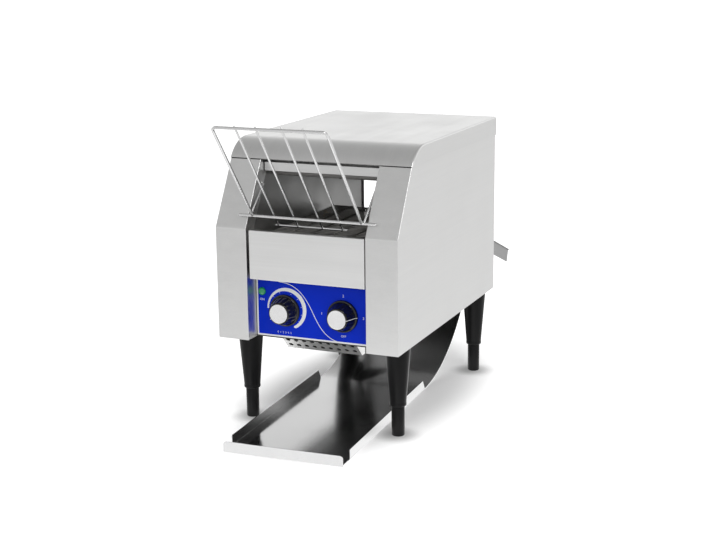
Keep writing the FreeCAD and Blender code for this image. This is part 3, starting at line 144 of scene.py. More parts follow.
def roundedFrame(x0, x1, z0, z1, inset, radius, depth, steps=5):
    # outline of a rectangle with round corners, pulled in by the inset, at one depth
    r = max(radius - inset, 0.05)
    turn = np.linspace(0, math.pi / 2, steps)
    cornerAt = [(x1, z1, 0), (x0, z1, 1), (x0, z0, 2), (x1, z0, 3)]
    points = []
    for x, z, quarter in cornerAt:
        angle = turn + quarter * math.pi / 2
        cx = x - math.copysign(inset + r, x - (x0 + x1) / 2)
        cz = z - math.copysign(inset + r, z - (z0 + z1) / 2)
        points.append(np.stack([cx + r * np.cos(angle), np.full(steps, depth), cz + r * np.sin(angle)], axis=1))
    return np.concatenate(points)


def panPatches(x0, x1, z0, z1, front, back, corner, bend, closeBack=False):
    # face with its edges bent back: rings run from the hem over a quarter round of the bend to the face
    t = np.linspace(0, math.pi / 2, 6)
    rings = [roundedFrame(x0, x1, z0, z1, 0, corner, back)]
    for inset, depth in zip(bend * (1 - np.cos(t)), front + bend * (1 - np.sin(t))):
        rings.append(roundedFrame(x0, x1, z0, z1, inset, corner, depth))
    patches = [sheetPatch(np.array(rings), closeCols=True), (rings[-1], [list(range(len(rings[-1])))])]
    if closeBack:
        patches.append((rings[0], [list(range(len(rings[0])))[::-1]]))
    return patches


def bandPatch(left, right, front, thick):
    # flat band between two lines of (x, z), as thick as asked, its front face at the given depth
    def at(line, depth):
        return np.stack([line[:, 0], np.full(len(line), depth), line[:, 1]], axis=1)
    loop = np.stack([at(left, front), at(right, front), at(right, front + thick), at(left, front + thick)],
                    axis=1)
    ends = [[0, 1, 2, 3], [4 * len(left) - k for k in (1, 2, 3, 4)]]
    points, quads = sheetPatch(loop, closeCols=True)
    return points, quads.tolist() + ends


# Pieces

def facedPatch(points, faces, heart, facing):
    # faces of one patch turned over together when their area-weighted normals point to the heart, or against
    # the facing direction
    faces = [list(face) for face in faces]
    total = 0.0
    for size in {len(face) for face in faces}:
        index = np.array([face for face in faces if len(face) == size])
        corners = points[index]
        areas = np.cross(corners, np.roll(corners, -1, axis=1)).sum(axis=1)
        away = np.array(facing, float) if facing is not None else corners.mean(axis=1) - np.array(heart, float)
        total += (areas * away).sum()
    return [face[::-1] for face in faces] if total < 0 else faces


def makePiece(name, patches, body, finish, stands=(), inside=None, wall=0, sharp=32):
    points, faces, start = [], [], 0
    for patchPoints, patchFaces, *facing in patches:
        if inside is not None or facing:
            patchFaces = facedPatch(patchPoints, patchFaces, inside, facing[0] if facing else None)
        points.append(patchPoints)
        faces.extend([start + int(k) for k in face] for face in patchFaces)
        start += len(patchPoints)
    placed = np.concatenate(points) * 0.001 + (0, columnFace, 0)
    mesh = bpy.data.meshes.new(name)
    mesh.from_pydata(placed.tolist(), [], faces)
    work = bmesh.new()
    work.from_mesh(mesh)
    bmesh.ops.remove_doubles(work, verts=work.verts, dist=2e-6)
    bmesh.ops.dissolve_degenerate(work, edges=work.edges, dist=1e-7)
    if not wall:
        bmesh.ops.recalc_face_normals(work, faces=work.faces)
    work.to_mesh(mesh)
    work.free()
    mesh.polygons.foreach_set("use_smooth", np.ones(len(mesh.polygons), bool))
    mesh.set_sharp_from_angle(angle=math.radians(sharp))
    piece = bpy.data.objects.new(name, mesh)
    bpy.context.scene.collection.objects.link(piece)
    mesh.materials.append(finish)
    if wall:
        sheet = piece.modifiers.new("wall", "SOLIDIFY")
        sheet.thickness = wall * 0.001
        sheet.offset = -1
        crisp = piece.modifiers.new("crisp", "BEVEL")
        crisp.width = 0.00012
        crisp.segments = 1
        crisp.limit_method = "ANGLE"
        crisp.angle_limit = math.radians(60)
        crisp.use_clamp_overlap = True
        even = piece.modifiers.new("even", "WEIGHTED_NORMAL")
        even.keep_sharp = True
    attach(piece, body)
    if stands:
        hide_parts(*stands)
    return piece


# Finishes

def newFinish(name, colour, roughness, metallic=0.0, **sockets):
    finish = bpy.data.materials.new(name)
    finish.use_nodes = True
    finish.diffuse_color = (*colour, 1)
    nodes, links = finish.node_tree.nodes, finish.node_tree.links
    shader = nodes["Principled BSDF"]
    shader.inputs["Base Color"].default_value = (*colour, 1)
    shader.inputs["Metallic"].default_value = metallic
    shader.inputs["Roughness"].default_value = roughness
    for socket, value in sockets.items():
        shader.inputs[socket.replace("_", " ")].default_value = value
    place = nodes.new("ShaderNodeTexCoord").outputs["Object"]
    return finish, nodes, links, shader, place


def stretchedNoise(nodes, links, place, stretch, detail=4.0, roughness=0.6):
    mapping = nodes.new("ShaderNodeMapping")
    mapping.inputs["Scale"].default_value = stretch
    links.new(place, mapping.inputs["Vector"])
    noise = nodes.new("ShaderNodeTexNoise")
    noise.inputs["Scale"].default_value = 1.0
    noise.inputs["Detail"].default_value = detail
    noise.inputs["Roughness"].default_value = roughness
    links.new(mapping.outputs["Vector"], noise.inputs["Vector"])
    return noise.outputs["Fac"]


def spread(nodes, links, value, low, high):
    span = nodes.new("ShaderNodeMapRange")
    span.inputs["From Min"].default_value = 0.3
    span.inputs["From Max"].default_value = 0.7
    span.inputs["To Min"].default_value = low
    span.inputs["To Max"].default_value = high
    links.new(value, span.inputs["Value"])
    return span.outputs["Result"]


def tinted(nodes, links, value, dark, light):
    blend = nodes.new("ShaderNodeMix")
    blend.data_type = "RGBA"
    blend.inputs["A"].default_value = (*dark, 1)
    blend.inputs["B"].default_value = (*light, 1)
    links.new(value, blend.inputs["Factor"])
    return blend.outputs["Result"]


def raised(nodes, links, value, shader, strength, distance):
    bump = nodes.new("ShaderNodeBump")
    bump.inputs["Strength"].default_value = strength
    bump.inputs["Distance"].default_value = distance
    links.new(value, bump.inputs["Height"])
    links.new(bump.outputs["Normal"], shader.inputs["Normal"])
    return bump


def worked(nodes, links, operation, *values):
    # math node of the operation: a number goes into its socket, an output is linked to it
    node = nodes.new("ShaderNodeMath")
    node.operation = operation
    for socket, value in zip(node.inputs, values):
        if isinstance(value, (int, float)):
            socket.default_value = value
        else:
            links.new(value, socket)
    return node.outputs[0]


def lengthOf(nodes, links, vector):
    reach = nodes.new("ShaderNodeVectorMath")
    reach.operation = "LENGTH"
    links.new(vector, reach.inputs[0])
    return reach.outputs["Value"]


def flatDistance(nodes, links, x, y):
    joined = nodes.new("ShaderNodeCombineXYZ")
    links.new(x, joined.inputs["X"])
    links.new(y, joined.inputs["Y"])
    return lengthOf(nodes, links, joined.outputs["Vector"])


def brushedSteel(name, colour, roughness, grain, fine=0.05, streak=0.04, cloud=9.0, contrast=0.04):
    # sheet steel: fine grain and wider streaks along one direction in colour and gloss, soft clouds of handling
    # in the gloss alone
    finish, nodes, links, shader, place = newFinish(name, colour, roughness, 1.0)
    lines = stretchedNoise(nodes, links, place, tuple(g * 650 for g in grain), 5.0, 0.7)
    bands = stretchedNoise(nodes, links, place, tuple(g * 90 for g in grain), 3.0)
    clouds = stretchedNoise(nodes, links, place, (cloud,) * 3, 3.0, 0.5)
    total = worked(nodes, links, "MULTIPLY_ADD", bands, 0.5, worked(nodes, links, "MULTIPLY", lines, 0.5))
    low = tuple(c * (1 - contrast) for c in colour)
    high = tuple(min(1.0, c * (1 + contrast)) for c in colour)
    shade = spread(nodes, links, total, 0.0, 1.0)
    links.new(tinted(nodes, links, shade, low, high), shader.inputs["Base Color"])
    gloss = spread(nodes, links, total, roughness - fine, roughness + fine)
    cloudy = worked(nodes, links, "ADD", gloss, spread(nodes, links, clouds, -streak, streak))
    links.new(cloudy, shader.inputs["Roughness"])
    raised(nodes, links, lines, shader, 0.12, 0.0002)
    return finish


def mouldedFinish(name, colour, roughness, grainSize=1400.0, strength=0.12, wear=0.03, **sockets):
    # moulded or painted surface: small even grain in the surface, rubbed patches in its gloss
    finish, nodes, links, shader, place = newFinish(name, colour, roughness, **sockets)
    grain = stretchedNoise(nodes, links, place, (grainSize,) * 3, 2.0)
    rubbed = stretchedNoise(nodes, links, place, (38.0,) * 3, 4.0)
    links.new(spread(nodes, links, rubbed, max(0.02, roughness - wear), roughness + wear),
              shader.inputs["Roughness"])
    lighter = tuple(min(1.0, c * 1.12 + 0.002) for c in colour)
    links.new(tinted(nodes, links, rubbed, colour, lighter), shader.inputs["Base Color"])
    raised(nodes, links, grain, shader, strength, 0.0001)
    return finish


def spunFinish(name, colour, roughness, middle):
    # turned disc: rings round the knob's axis, from sin(distance from the axis), in height and gloss; the
    # axis is at |x| and z of the middle, so that both knobs share the finish
    finish, nodes, links, shader, place = newFinish(name, colour, roughness, 1.0)
    split = nodes.new("ShaderNodeSeparateXYZ")
    links.new(place, split.inputs[0])
    aside = worked(nodes, links, "ABSOLUTE", split.outputs["X"])
    reach = flatDistance(nodes, links, worked(nodes, links, "SUBTRACT", aside, middle[0]),
                         worked(nodes, links, "SUBTRACT", split.outputs["Z"], middle[1]))
    ring = worked(nodes, links, "SINE", worked(nodes, links, "MULTIPLY", reach, 9000.0))
    raised(nodes, links, ring, shader, 0.35, 0.00006)
    rough = nodes.new("ShaderNodeMapRange")
    rough.inputs["From Min"].default_value = -1.0
    rough.inputs["To Min"].default_value = roughness - 0.06
    rough.inputs["To Max"].default_value = roughness + 0.06
    links.new(ring, rough.inputs["Value"])
    links.new(rough.outputs["Result"], shader.inputs["Roughness"])
    return finish


alongX = (0.012, 0.35, 1.0)  # fine across z, long along x
alongDepth = (0.35, 0.012, 1.0)
topGrain = (1.0, 0.012, 0.35)
steelSide = brushedSteel("steelSide", (0.67, 0.67, 0.665), 0.36, alongDepth)
steelFront = brushedSteel("steelFront", (0.64, 0.64, 0.635), 0.36, alongX)
steelPlate = brushedSteel("steelPlate", (0.76, 0.76, 0.755), 0.36, alongX)
steelGuard = brushedSteel("steelGuard", (0.88, 0.88, 0.87), 0.5, alongX)
# painted shade: a darker copy of the stainless, for the rear ramp
steelRampShaded = brushedSteel("steelRampShaded", (0.3, 0.3, 0.3), 0.36, topGrain)
steelStrip = brushedSteel("steelStrip", (0.68, 0.68, 0.675), 0.36, alongX)
steelShaded = brushedSteel("steelShaded", (0.06, 0.06, 0.06), 0.6, alongX, contrast=0.15)
steelTop = brushedSteel("steelTop", (0.655, 0.655, 0.65), 0.34, topGrain)
steelInner = brushedSteel("steelInner", (0.38, 0.38, 0.375), 0.42, alongDepth, contrast=0.08, cloud=22.0)
steelPolished = brushedSteel("steelPolished", (0.45, 0.45, 0.45), 0.14, topGrain, fine=0.03, streak=0.03,
                             contrast=0.03)
wireBright = brushedSteel("wireBright", (0.64, 0.64, 0.64), 0.24, (0.3, 0.3, 1.0))
wireDark = brushedSteel("wireDark", (0.3, 0.29, 0.28), 0.42, (0.6, 0.6, 1.0), contrast=0.3, cloud=60.0)
shaftSteel = brushedSteel("shaftSteel", (0.55, 0.55, 0.55), 0.3, (1.0, 0.3, 0.3))
brassBush = brushedSteel("brassBush", (0.72, 0.55, 0.3), 0.4, (1.0, 1.0, 1.0), contrast=0.1)
knobBlack = mouldedFinish("knobBlack", (0.005, 0.005, 0.005), 0.12, 900.0, 0.04, 0.02, Specular_IOR_Level=0.45)
legBlack = mouldedFinish("legBlack", (0.006, 0.006, 0.0064), 0.32, 700.0, 0.1, Specular_IOR_Level=0.13)
labelBlue = mouldedFinish("labelBlue", (0.0, 0.027, 0.6), 0.3, 1100.0, 0.06, 0.02, Specular_IOR_Level=0.1)
labelWhite = mouldedFinish("labelWhite", (0.96, 0.97, 0.98), 0.35, 1100.0, 0.05)
lampGreen = mouldedFinish("lampGreen", (0.01, 0.36, 0.12), 0.12, 500.0, 0.05, 0.02, Coat_Weight=0.6,
                          Coat_Roughness=0.03)
quartzTube = mouldedFinish("quartzTube", (0.34, 0.33, 0.32), 0.3, 600.0, 0.1)
ceramicCap = mouldedFinish("ceramicCap", (0.86, 0.84, 0.79), 0.65, 500.0, 0.4, 0.08)
motorGrey = mouldedFinish("motorGrey", (0.2, 0.21, 0.22), 0.5, 800.0, 0.4, 0.08)
resinBrown = mouldedFinish("resinBrown", (0.14, 0.1, 0.07), 0.5, 800.0, 0.3)
nylonBlack = mouldedFinish("nylonBlack", (0.03, 0.03, 0.03), 0.5, 800.0, 0.3, 0.06)
resinWhite = mouldedFinish("resinWhite", (0.78, 0.77, 0.71), 0.45, 800.0, 0.3)
spunCap = spunFinish("spunCap", (0.8, 0.8, 0.8), 0.24, (0.042, 0.1642))
print("finishes ready")

nodeFinishes = {
    "stainless": steelFront, "inner_steel": steelInner, "bright_wire": wireBright,
    "polished_sheet": steelPolished,
    "belt_steel": wireDark, "label_blue": labelBlue, "knob_black": knobBlack, "cap_metal": spunCap,
    "lamp_green": lampGreen, "leg_black": legBlack, "quartz": quartzTube, "ceramic": ceramicCap,
    "shaft_steel": shaftSteel, "bush_brass": brassBush, "motor_grey": motorGrey, "switch_brown": resinBrown,
    "gland_black": nylonBlack, "terminal_white": resinWhite,
}
for entry in frame["record"]["subparts"]:
    for materialSlot in frame["nodes"][entry["node"]].material_slots:
        materialSlot.material = nodeFinishes[entry["material_slot"]]
# painted shade: the base plate, tray runners and crumb tray, in the shade under the body, take the near-black
# copy of the steel
for name in ("base_plate", "tray_runners", "crumb_tray"):
    for materialSlot in frame["nodes"][name].material_slots:
        materialSlot.material = steelShaded
# the rear ramp takes the darker copy of the stainless, with its painted shade
for name, finish in (("rear_ramp", steelRampShaded), ("lower_guard", steelGuard)):
    for materialSlot in frame["nodes"][name].material_slots:
        materialSlot.material = finish
print("carried nodes dressed")

# Housing sheets

housing = {"half": 130.0, "column": 45.0, "deep": 395.0, "floor": 125.0, "crease": 276.0, "columnTop": 361.2,
           "hidden": 361.6, "top": 385.6, "slant": 60.0, "shoulder": 52.0, "shoulderAt": (93.36, 333.7),
           "return": 25.0, "rearReturn": 18.0, "bend": 1.1, "gauge": 1.0}


def slantDepth(z):
    # depth of the column face at a height: 0 up to the crease, then back at the slant, eased over about 1.5 mm
    above = z - housing["crease"]
    return (above + np.sqrt(above ** 2 + 1.2 ** 2)) / 2 / math.tan(math.radians(housing["slant"]))


def shoulderDepth(z):
    # depth where the round shoulder starts at a height: centre - sqrt(r^2 - (z - centre)^2)
    back, high = housing["shoulderAt"]
    return back - np.sqrt(np.maximum(housing["shoulder"] ** 2 - (z - high) ** 2, 0))


def sidePanel(side, name):
    # plan line (return, face, side, rear return) carried up: front part moved back by slantDepth(z)
    h = housing
    plan = bentLine([(h["half"] - h["column"], h["return"]), (h["half"] - h["column"], 0), (h["half"], 0),
                     (h["half"], h["deep"]), (h["half"] - h["rearReturn"], h["deep"])], h["bend"])
    moves = plan[:, 1] < h["deep"] / 2
    z = np.concatenate([[h["floor"], 272], np.linspace(273.5, 278.5, 11), [280, 320, h["columnTop"]]])
    depth = plan[None, :, 1] + slantDepth(z)[:, None] * moves
    wall = np.stack([np.broadcast_to(side * plan[:, 0], depth.shape), depth,
                     np.broadcast_to(z[:, None], depth.shape)], axis=-1)
    rise = (h["top"] - h["hidden"]) * np.sin(np.linspace(0, math.pi / 2, 9))
    zTop = np.concatenate([[h["columnTop"]], h["hidden"] + rise])
    starts = np.where(zTop < h["hidden"], slantDepth(zTop), shoulderDepth(zTop))
    edge = np.stack([starts, np.full(len(zTop), h["deep"] - h["bend"])], axis=1)
    upper = np.stack([np.full(edge.shape, side * h["half"]), edge, np.broadcast_to(zTop[:, None], edge.shape)],
                     axis=-1)
    return makePiece(name, [sheetPatch(wall), sheetPatch(upper)], "housing", steelSide, [name],
                     inside=(side * 108, 200, 240), wall=h["gauge"])


sidePanel(1, "side_panel_right")
sidePanel(-1, "side_panel_left")

cover = {"half": 131.3, "front": 48.0, "lowFront": 362.7, "low": 359.52, "fallLong": 345.0, "rear": 396.3,
         "top": 387.0, "grow": 1.3, "bend": 2.6, "rearBend": 3.0, "gauge": 1.0}


def skirtLow(depth):
    # lower edge of the skirt: falls evenly from lowFront to low over the length fallLong
    c = cover
    share = (depth - c["front"]) / c["fallLong"]
    return c["lowFront"] - (c["lowFront"] - c["low"]) * np.clip(share, 0, 1)


def coverSheet():
    # side-view line over the shoulder and the top, with the section across it: skirt, quarter bend, top and
    # the same again
    c = cover
    back, high = housing["shoulderAt"]
    r = housing["shoulder"] + c["grow"]
    turn = np.linspace(math.pi - math.asin((c["lowFront"] - high) / r), math.pi / 2, 25)
    arc = np.stack([back + r * np.cos(turn), high + r * np.sin(turn)], axis=1)
    t = np.linspace(0, math.pi / 2, 6)
    rear = np.stack([c["rear"] - c["rearBend"] * (1 - np.sin(t)),
                     c["top"] - c["rearBend"] * (1 - np.cos(t))], axis=1)
    line = np.concatenate([arc, rear])
    tangent = unit(np.gradient(line, axis=0))
    tangent[-1] = (0, -1)
    normal = np.stack([-tangent[:, 1], tangent[:, 0]], axis=1)
    inner = line - normal * c["bend"]
    a = np.linspace(0, math.pi / 2, 8)
    xs = np.concatenate([[-c["half"]], -(c["half"] - c["bend"]) - c["bend"] * np.cos(a)])
    lift = np.concatenate([[0], c["bend"] * np.sin(a)])
    rows = []
    for x, up, skirt in zip(xs, lift, [True] + [False] * len(a)):
        depth = inner[:, 0] + normal[:, 0] * up
        z = inner[:, 1] + normal[:, 1] * up
        z = skirtLow(depth) if skirt else np.maximum(z, skirtLow(depth))
        rows.append(np.stack([np.full(len(z), x), depth, z], axis=1))
    left = np.array(rows)
    right = left[::-1] * (-1, 1, 1)
    across = np.concatenate([left, right])
    flangeX = np.array([-c["half"] + 0.4, c["half"] - 0.4])
    flange = np.array([[(x, c["rear"], z) for z in (c["top"] - c["rearBend"], c["low"])] for x in flangeX])
    return [sheetPatch(across), sheetPatch(flange)]


makePiece("top_cover", coverSheet(), "housing", steelTop, ["top_cover"], inside=(0, 220, 300),
          wall=cover["gauge"])

strip = {"half": 84.0, "low": 345.0, "ledge": 357.8, "top": 369.0, "front": 58.0, "back": 68.0, "bend": 1.2,
         "gauge": 1.0}


def stripSheet():
    # side-view line carried across: bottom flange, face, a ledge back, and the part hidden under the lid
    s = strip
    line = bentLine([(s["back"], s["low"]), (s["front"], s["low"]), (s["front"], s["ledge"]),
                     (s["back"], s["ledge"]), (s["back"], s["top"])], s["bend"])
    x = np.array([-s["half"], 0, s["half"]])
    grid = np.stack([np.broadcast_to(x[:, None], (3, len(line))), np.broadcast_to(line[:, 0], (3, len(line))),
                     np.broadcast_to(line[:, 1], (3, len(line)))], axis=-1)
    return [(*sheetPatch(grid), (0, -1, 0))]


makePiece("front_strip", stripSheet(), "housing", steelStrip, ["front_strip"], wall=strip["gauge"])

plate = {"left": -82.3, "right": 83.2, "low": 208.8, "top": 275.0, "front": 2.0, "back": 10.0, "corner": 1.2,
         "bend": 1.6, "gauge": 1.0}
platePatches = panPatches(plate["left"], plate["right"], plate["low"], plate["top"], plate["front"],
                          plate["back"], plate["corner"], plate["bend"])
makePiece("front_plate", platePatches, "crumb_drawer", steelPlate, ["front_plate"],
          inside=(0, 9, 242), wall=plate["gauge"])
print("housing sheets made")

# Label and its print

label = {"x0": -84.2, "x1": 82.0, "low": 126.7, "top": 206.5, "front": 25.0, "back": 25.5, "border": 2.3,
         "rim": 0.05, "corner": 1.0, "bend": 0.2, "fieldDeep": 0.06, "fieldCorner": 0.4, "fieldBend": 0.02}
makePiece("control_label",
          panPatches(label["x0"], label["x1"], label["low"], label["top"], label["front"] + label["rim"],
                     label["back"], label["corner"], label["bend"], True),
          "housing", labelWhite, ["control_label"])
makePiece("label_field",
          panPatches(label["x0"] + label["border"], label["x1"] - label["rim"], label["low"] + label["border"],
                     label["top"] - label["rim"], label["front"], label["front"] + label["fieldDeep"],
                     label["fieldCorner"], label["fieldBend"], True),
          "housing", labelBlue)


def arcBand(centreOut, rOut, centreIn, rIn, start, end, count=72):
    # crescent between two circles that aren't concentric, its last 5 degrees rounded off
    a = np.radians(np.linspace(start, end, count))
    out = np.stack([centreOut[0] + rOut * np.cos(a), centreOut[1] + rOut * np.sin(a)], axis=1)
    inn = np.stack([centreIn[0] + rIn * np.cos(a), centreIn[1] + rIn * np.sin(a)], axis=1)
    middle = (out + inn) / 2
    near = np.clip((np.degrees(a) - end) / 5.0, 0, 1)
    keep = np.sqrt(1 - (1 - near) ** 2)[:, None]
    return middle + (out - middle) * keep, middle + (inn - middle) * keep


def strokeBand(line, width):
    # a line of (x, z) given a width by moving it both ways along its normal
    tangent = unit(np.gradient(line, axis=0))
    normal = np.stack([-tangent[:, 1], tangent[:, 0]], axis=1)
    return line + normal * width / 2, line - normal * width / 2


def smoothed(points, count=90, order=7):
    # polynomial of the order in x and z through the points, taken over the distance along them
    points = np.array(points, float)
    t = np.concatenate([[0], np.cumsum(np.linalg.norm(np.diff(points, axis=0), axis=1))])
    t = t / t[-1]
    fine = np.linspace(0, 1, count)
    return np.stack([np.polyval(np.polyfit(t, points[:, k], order), fine) for k in (0, 1)], axis=1)


def letters(text, x, z, size):
    words = bpy.data.curves.new("words", "FONT")
    words.body = text
    words.size = size
    words.align_x = "CENTER"
    words.align_y = "CENTER"
    words.extrude = 0.03
    words.resolution_u = 3
    holder = bpy.data.objects.new("words", words)
    bpy.context.scene.collection.objects.link(holder)
    bpy.context.view_layer.update()
    mesh = bpy.data.meshes.new_from_object(holder.evaluated_get(bpy.context.evaluated_depsgraph_get()))
    flat = np.empty(len(mesh.vertices) * 3)
    mesh.vertices.foreach_get("co", flat)
    flat = flat.reshape(-1, 3)
    placed = np.stack([flat[:, 0] + x, label["front"] - 0.03 - flat[:, 2], flat[:, 1] + z], axis=1)
    faces = [list(p.vertices) for p in mesh.polygons]
    bpy.data.objects.remove(holder)
    bpy.data.curves.remove(words)
    return placed, faces


inkFront, inkThick = label["front"] - 0.04, 0.08
outer, inner = arcBand((-39.4, 166.6), 28.7, (-41.0, 165.7), 25.0, 182, -66)
printPatches = [bandPatch(outer, inner, inkFront, inkThick)]
sweep = smoothed([(-51, 202.9), (-39, 201.5), (-29, 197.5), (-21, 192.7), (-13.4, 184.3), (-7, 175),
                  (-2, 165.8), (3, 155.3), (9.3, 146.2), (16.9, 137), (24.6, 131.8), (32.3, 128.9),
                  (45.2, 126.6)])
sweep = sweep[sweep[:, 1] > label["low"] + 1.0]
printPatches.append(bandPatch(*strokeBand(sweep, 0.9), inkFront, inkThick))
for angle in (162, 134, 108, 68, 42, 15, -10, -34):
    spoke = np.array([[math.cos(math.radians(angle)), math.sin(math.radians(angle))]])
    run = np.array([[-42, 164.2]]) + spoke * np.array([[23.9], [25.4]])
    printPatches.append(bandPatch(*strokeBand(run, 0.5), inkFront, inkThick))
for text, x, z, size in (("ON", -75.9, 176.6, 4.4), ("2", 42.9, 191.4, 5.0), ("1", 11.6, 165.0, 5.0),
                         ("3", 71.4, 163.8, 5.0), ("OFF", 42.7, 136.6, 4.2),
                         ("0  1  2  3  4  5", -43.6, 133.6, 3.6)):
    printPatches.append(letters(text, x, z, size))
makePiece("label_print", printPatches, "housing", labelWhite)
print("label printed")

# Knobs, caps, pointers, lamp

knob = {"apart": 42.0, "high": 164.2, "back": 24.5, "flutes": 16, "fluteDeep": 0.05}


def knobFlutes(turn, along):
    # radius factor: shallow hollows, as many as the flutes, only between skirt and nose
    k = knob
    where = np.clip((along - 4.0) / 3.0, 0, 1) * np.clip((18.6 - along) / 1.5, 0, 1)
    return 1 - k["fluteDeep"] * where * (0.5 + 0.5 * np.cos(k["flutes"] * turn)) ** 2


def knobPieces(side, dial, knobNode, capNode, pointerAngle, pointerName):
    k = knob
    at = (side * k["apart"], k["back"], k["high"])
    flare = [(18.9 + 2.4 * (1 - math.sin(a)), 2.8 + 2.4 * (1 - math.cos(a))) for a in np.linspace(0, 1.5, 7)]
    profile = [(0, 0), (21.6, 0), (21.9, 0.3), (21.9, 1.6), (21.6, 2.2)] + flare
    profile += [(18.5, 6.2), (16.9, 12.0), (15.3, 17.0), (14.9, 18.6), (14.5, 19.4), (14.0, 19.8), (13.4, 20.0),
                (13.1, 20.0), (13.1, 19.2), (0, 19.2)]
    makePiece(knobNode, [turnedPatch(profile, at, "front", 160, knobFlutes)], dial, knobBlack,
              [knobNode], sharp=40)
    cap = [(0, 19.1), (12.9, 19.1), (12.9, 20.3), (12.7, 20.5), (12.3, 20.6), (11.7, 20.55), (6.0, 20.45),
           (0, 20.42)]
    makePiece(capNode, [turnedPatch(cap, at, "front", 96)], dial, spunCap, [capNode], sharp=50)
    a = math.radians(pointerAngle)
    spokes = np.array([(r, along) for r, along in [(13.5, 20.05), (14.4, 19.7), (15.3, 18.2), (17.05, 12.2),
                                                   (18.7, 6.4), (19.4, 4.4), (20.4, 3.2), (21.5, 2.5)]])
    out = np.array([math.cos(a), 0, math.sin(a)])
    line = np.array(at) + spokes[:, :1] * out + spokes[:, 1:] * np.array([0, -1, 0])
    makePiece(pointerName, [tubePatch(line, 0.42, (math.sin(a), 0, -math.cos(a)), 8)], dial, labelWhite)


knobPieces(-1, "speed_dial", "speed_knob", "speed_knob_cap", 215, "speed_pointer")
knobPieces(1, "selector_dial", "selector_knob", "selector_knob_cap", 0, "selector_pointer")

lamp = {"x": -75.6, "high": 187.8, "radius": 5.5, "proud": 3.5}
domeTurn = np.linspace(0, math.pi / 2, 12)
dome = [(0, -1.5), (4.3, -1.5), (4.3, 0), (5.5, 0)]
dome += [(lamp["radius"] * math.cos(a), 0.5 + (lamp["proud"] - 0.5) * math.sin(a)) for a in domeTurn]
makePiece("power_lamp", [turnedPatch(dome, (lamp["x"], 25.0, lamp["high"]), "front", 48)], "housing", lampGreen,
          ["power_lamp"])
print("knobs and lamp made")

# Painted shade: a dark sheet close behind the perforated guard, parallel to its slope, so that its holes show
# shade

guardShadeSheet = {"half": 53.5, "front": 41.0, "frontHigh": 123.6, "rear": 59.6, "rearHigh": 105.0, "gauge": 0.4}
slope = np.array([[(x, guardShadeSheet["front"], guardShadeSheet["frontHigh"]), (x, guardShadeSheet["rear"], guardShadeSheet["rearHigh"])]
                  for x in (-guardShadeSheet["half"], guardShadeSheet["half"])])
makePiece("guard_shade_sheet", [(*sheetPatch(slope), (0, -1, -1))], "housing", nylonBlack,
          wall=guardShadeSheet["gauge"])

# Legs and feet

leg = {"x": 108.7, "front": 51.9, "rear": 365.4}
legProfile = [(0, 42.6), (8.6, 42.6), (9.4, 42.2), (10.6, 42.0), (11.1, 42.3), (11.4, 43.0), (11.4, 45.6),
              (11.2, 46.4), (11.25, 47.4), (17.2, 122.5), (17.45, 124.4), (17.3, 124.9), (16.8, 125.0),
              (0, 125.0)]  # (radius, height), as for the foot
footProfile = [(0, 0), (7.4, 0), (8.2, 0.3), (8.8, 1.1), (8.9, 2.0), (8.9, 41.0), (8.5, 42.0), (5.0, 42.2),
               (5.0, 66.6), (4.6, 67.0), (0, 67.0)]
for end in ("front", "rear"):
    for hand, side in (("left", -1), ("right", 1)):
        at = (side * leg["x"], leg[end], 0)
        makePiece(f"leg_{end}_{hand}", [turnedPatch(legProfile, at, "up", 56)], "housing", legBlack,
                  [f"leg_{end}_{hand}"], sharp=60)
        makePiece(f"foot_{end}_{hand}", [turnedPatch(footProfile, at, "up", 48)], f"foot_{end}_{hand}",
                  legBlack, [f"foot_{end}_{hand}"], sharp=60)
print("legs made")

# Feed rack

rack = {"restHigh": 293.6, "back": 7.506, "restHalf": 98.5, "half": 77.5, "long": 164.4, "lean": 51.6,
        "bend": 6.2, "wire": 2.0, "thin": 1.5, "wires": (-47.2, -18.8, 16.4, 44.8), "nub": 1.2, "tail": 19.4,
        "low": 52.0, "arm": 80.6, "armLean": 42.0, "pivot": (48.527, 330.536), "pin": 87.9}
lean = math.radians(rack["lean"])
upRack = np.array([0, -math.cos(lean), math.sin(lean)])  # along the leaning wires
inRack = np.array([0, math.sin(lean), math.cos(lean)])  # towards the toasting space


def rackPoint(x, along, off=0.0):
    return np.array([x, rack["back"], rack["restHigh"]]) + upRack * along + inRack * off


r = rack
hoop = bentLine([rackPoint(-r["half"], 0), rackPoint(-r["half"], r["long"]), rackPoint(r["half"], r["long"]),
                 rackPoint(r["half"], 0)], r["bend"], 10)
rest = np.array([(-r["restHalf"] + 2, r["back"], r["restHigh"]), (0, r["back"], r["restHigh"]),
                 (r["restHalf"] - 2, r["back"], r["restHigh"])])
rackPatches = [tubePatch(densified(hoop, 40), r["wire"], inRack, 14), tubePatch(rest, r["wire"], (0, 0, 1), 14)]
armTurn = math.radians(r["armLean"])
armAcross = (0, -math.sin(armTurn), math.cos(armTurn))
for side in (-1, 1):
    arm = bentLine([(side * r["arm"], r["back"], r["restHigh"]), (side * r["arm"], *r["pivot"]),
                    (side * r["pin"], *r["pivot"])], 3.0, 6)
    rackPatches.append(tubePatch(arm, r["thin"], armAcross, 12))
makePiece("rack_frame", rackPatches, "feed_rack", wireBright, ["rack_frame"], sharp=60)
wireOff = r["wire"] + r["thin"] - 0.3
wirePatches = []
for x in r["wires"]:
    run = np.array([rackPoint(x, -r["tail"], wireOff), rackPoint(x, r["long"] / 2, wireOff),
                    rackPoint(x, r["long"] + r["nub"] - 1.5, wireOff)])
    wirePatches.append(tubePatch(run, r["thin"], inRack, 12))
lowBar = np.array([rackPoint(x, -r["tail"], wireOff) for x in (-r["low"] + 1.5, 0, r["low"] - 1.5)])
wirePatches.append(tubePatch(lowBar, r["thin"], inRack, 12))
makePiece("rack_wires", wirePatches, "feed_rack", wireBright, ["rack_wires"], sharp=60)
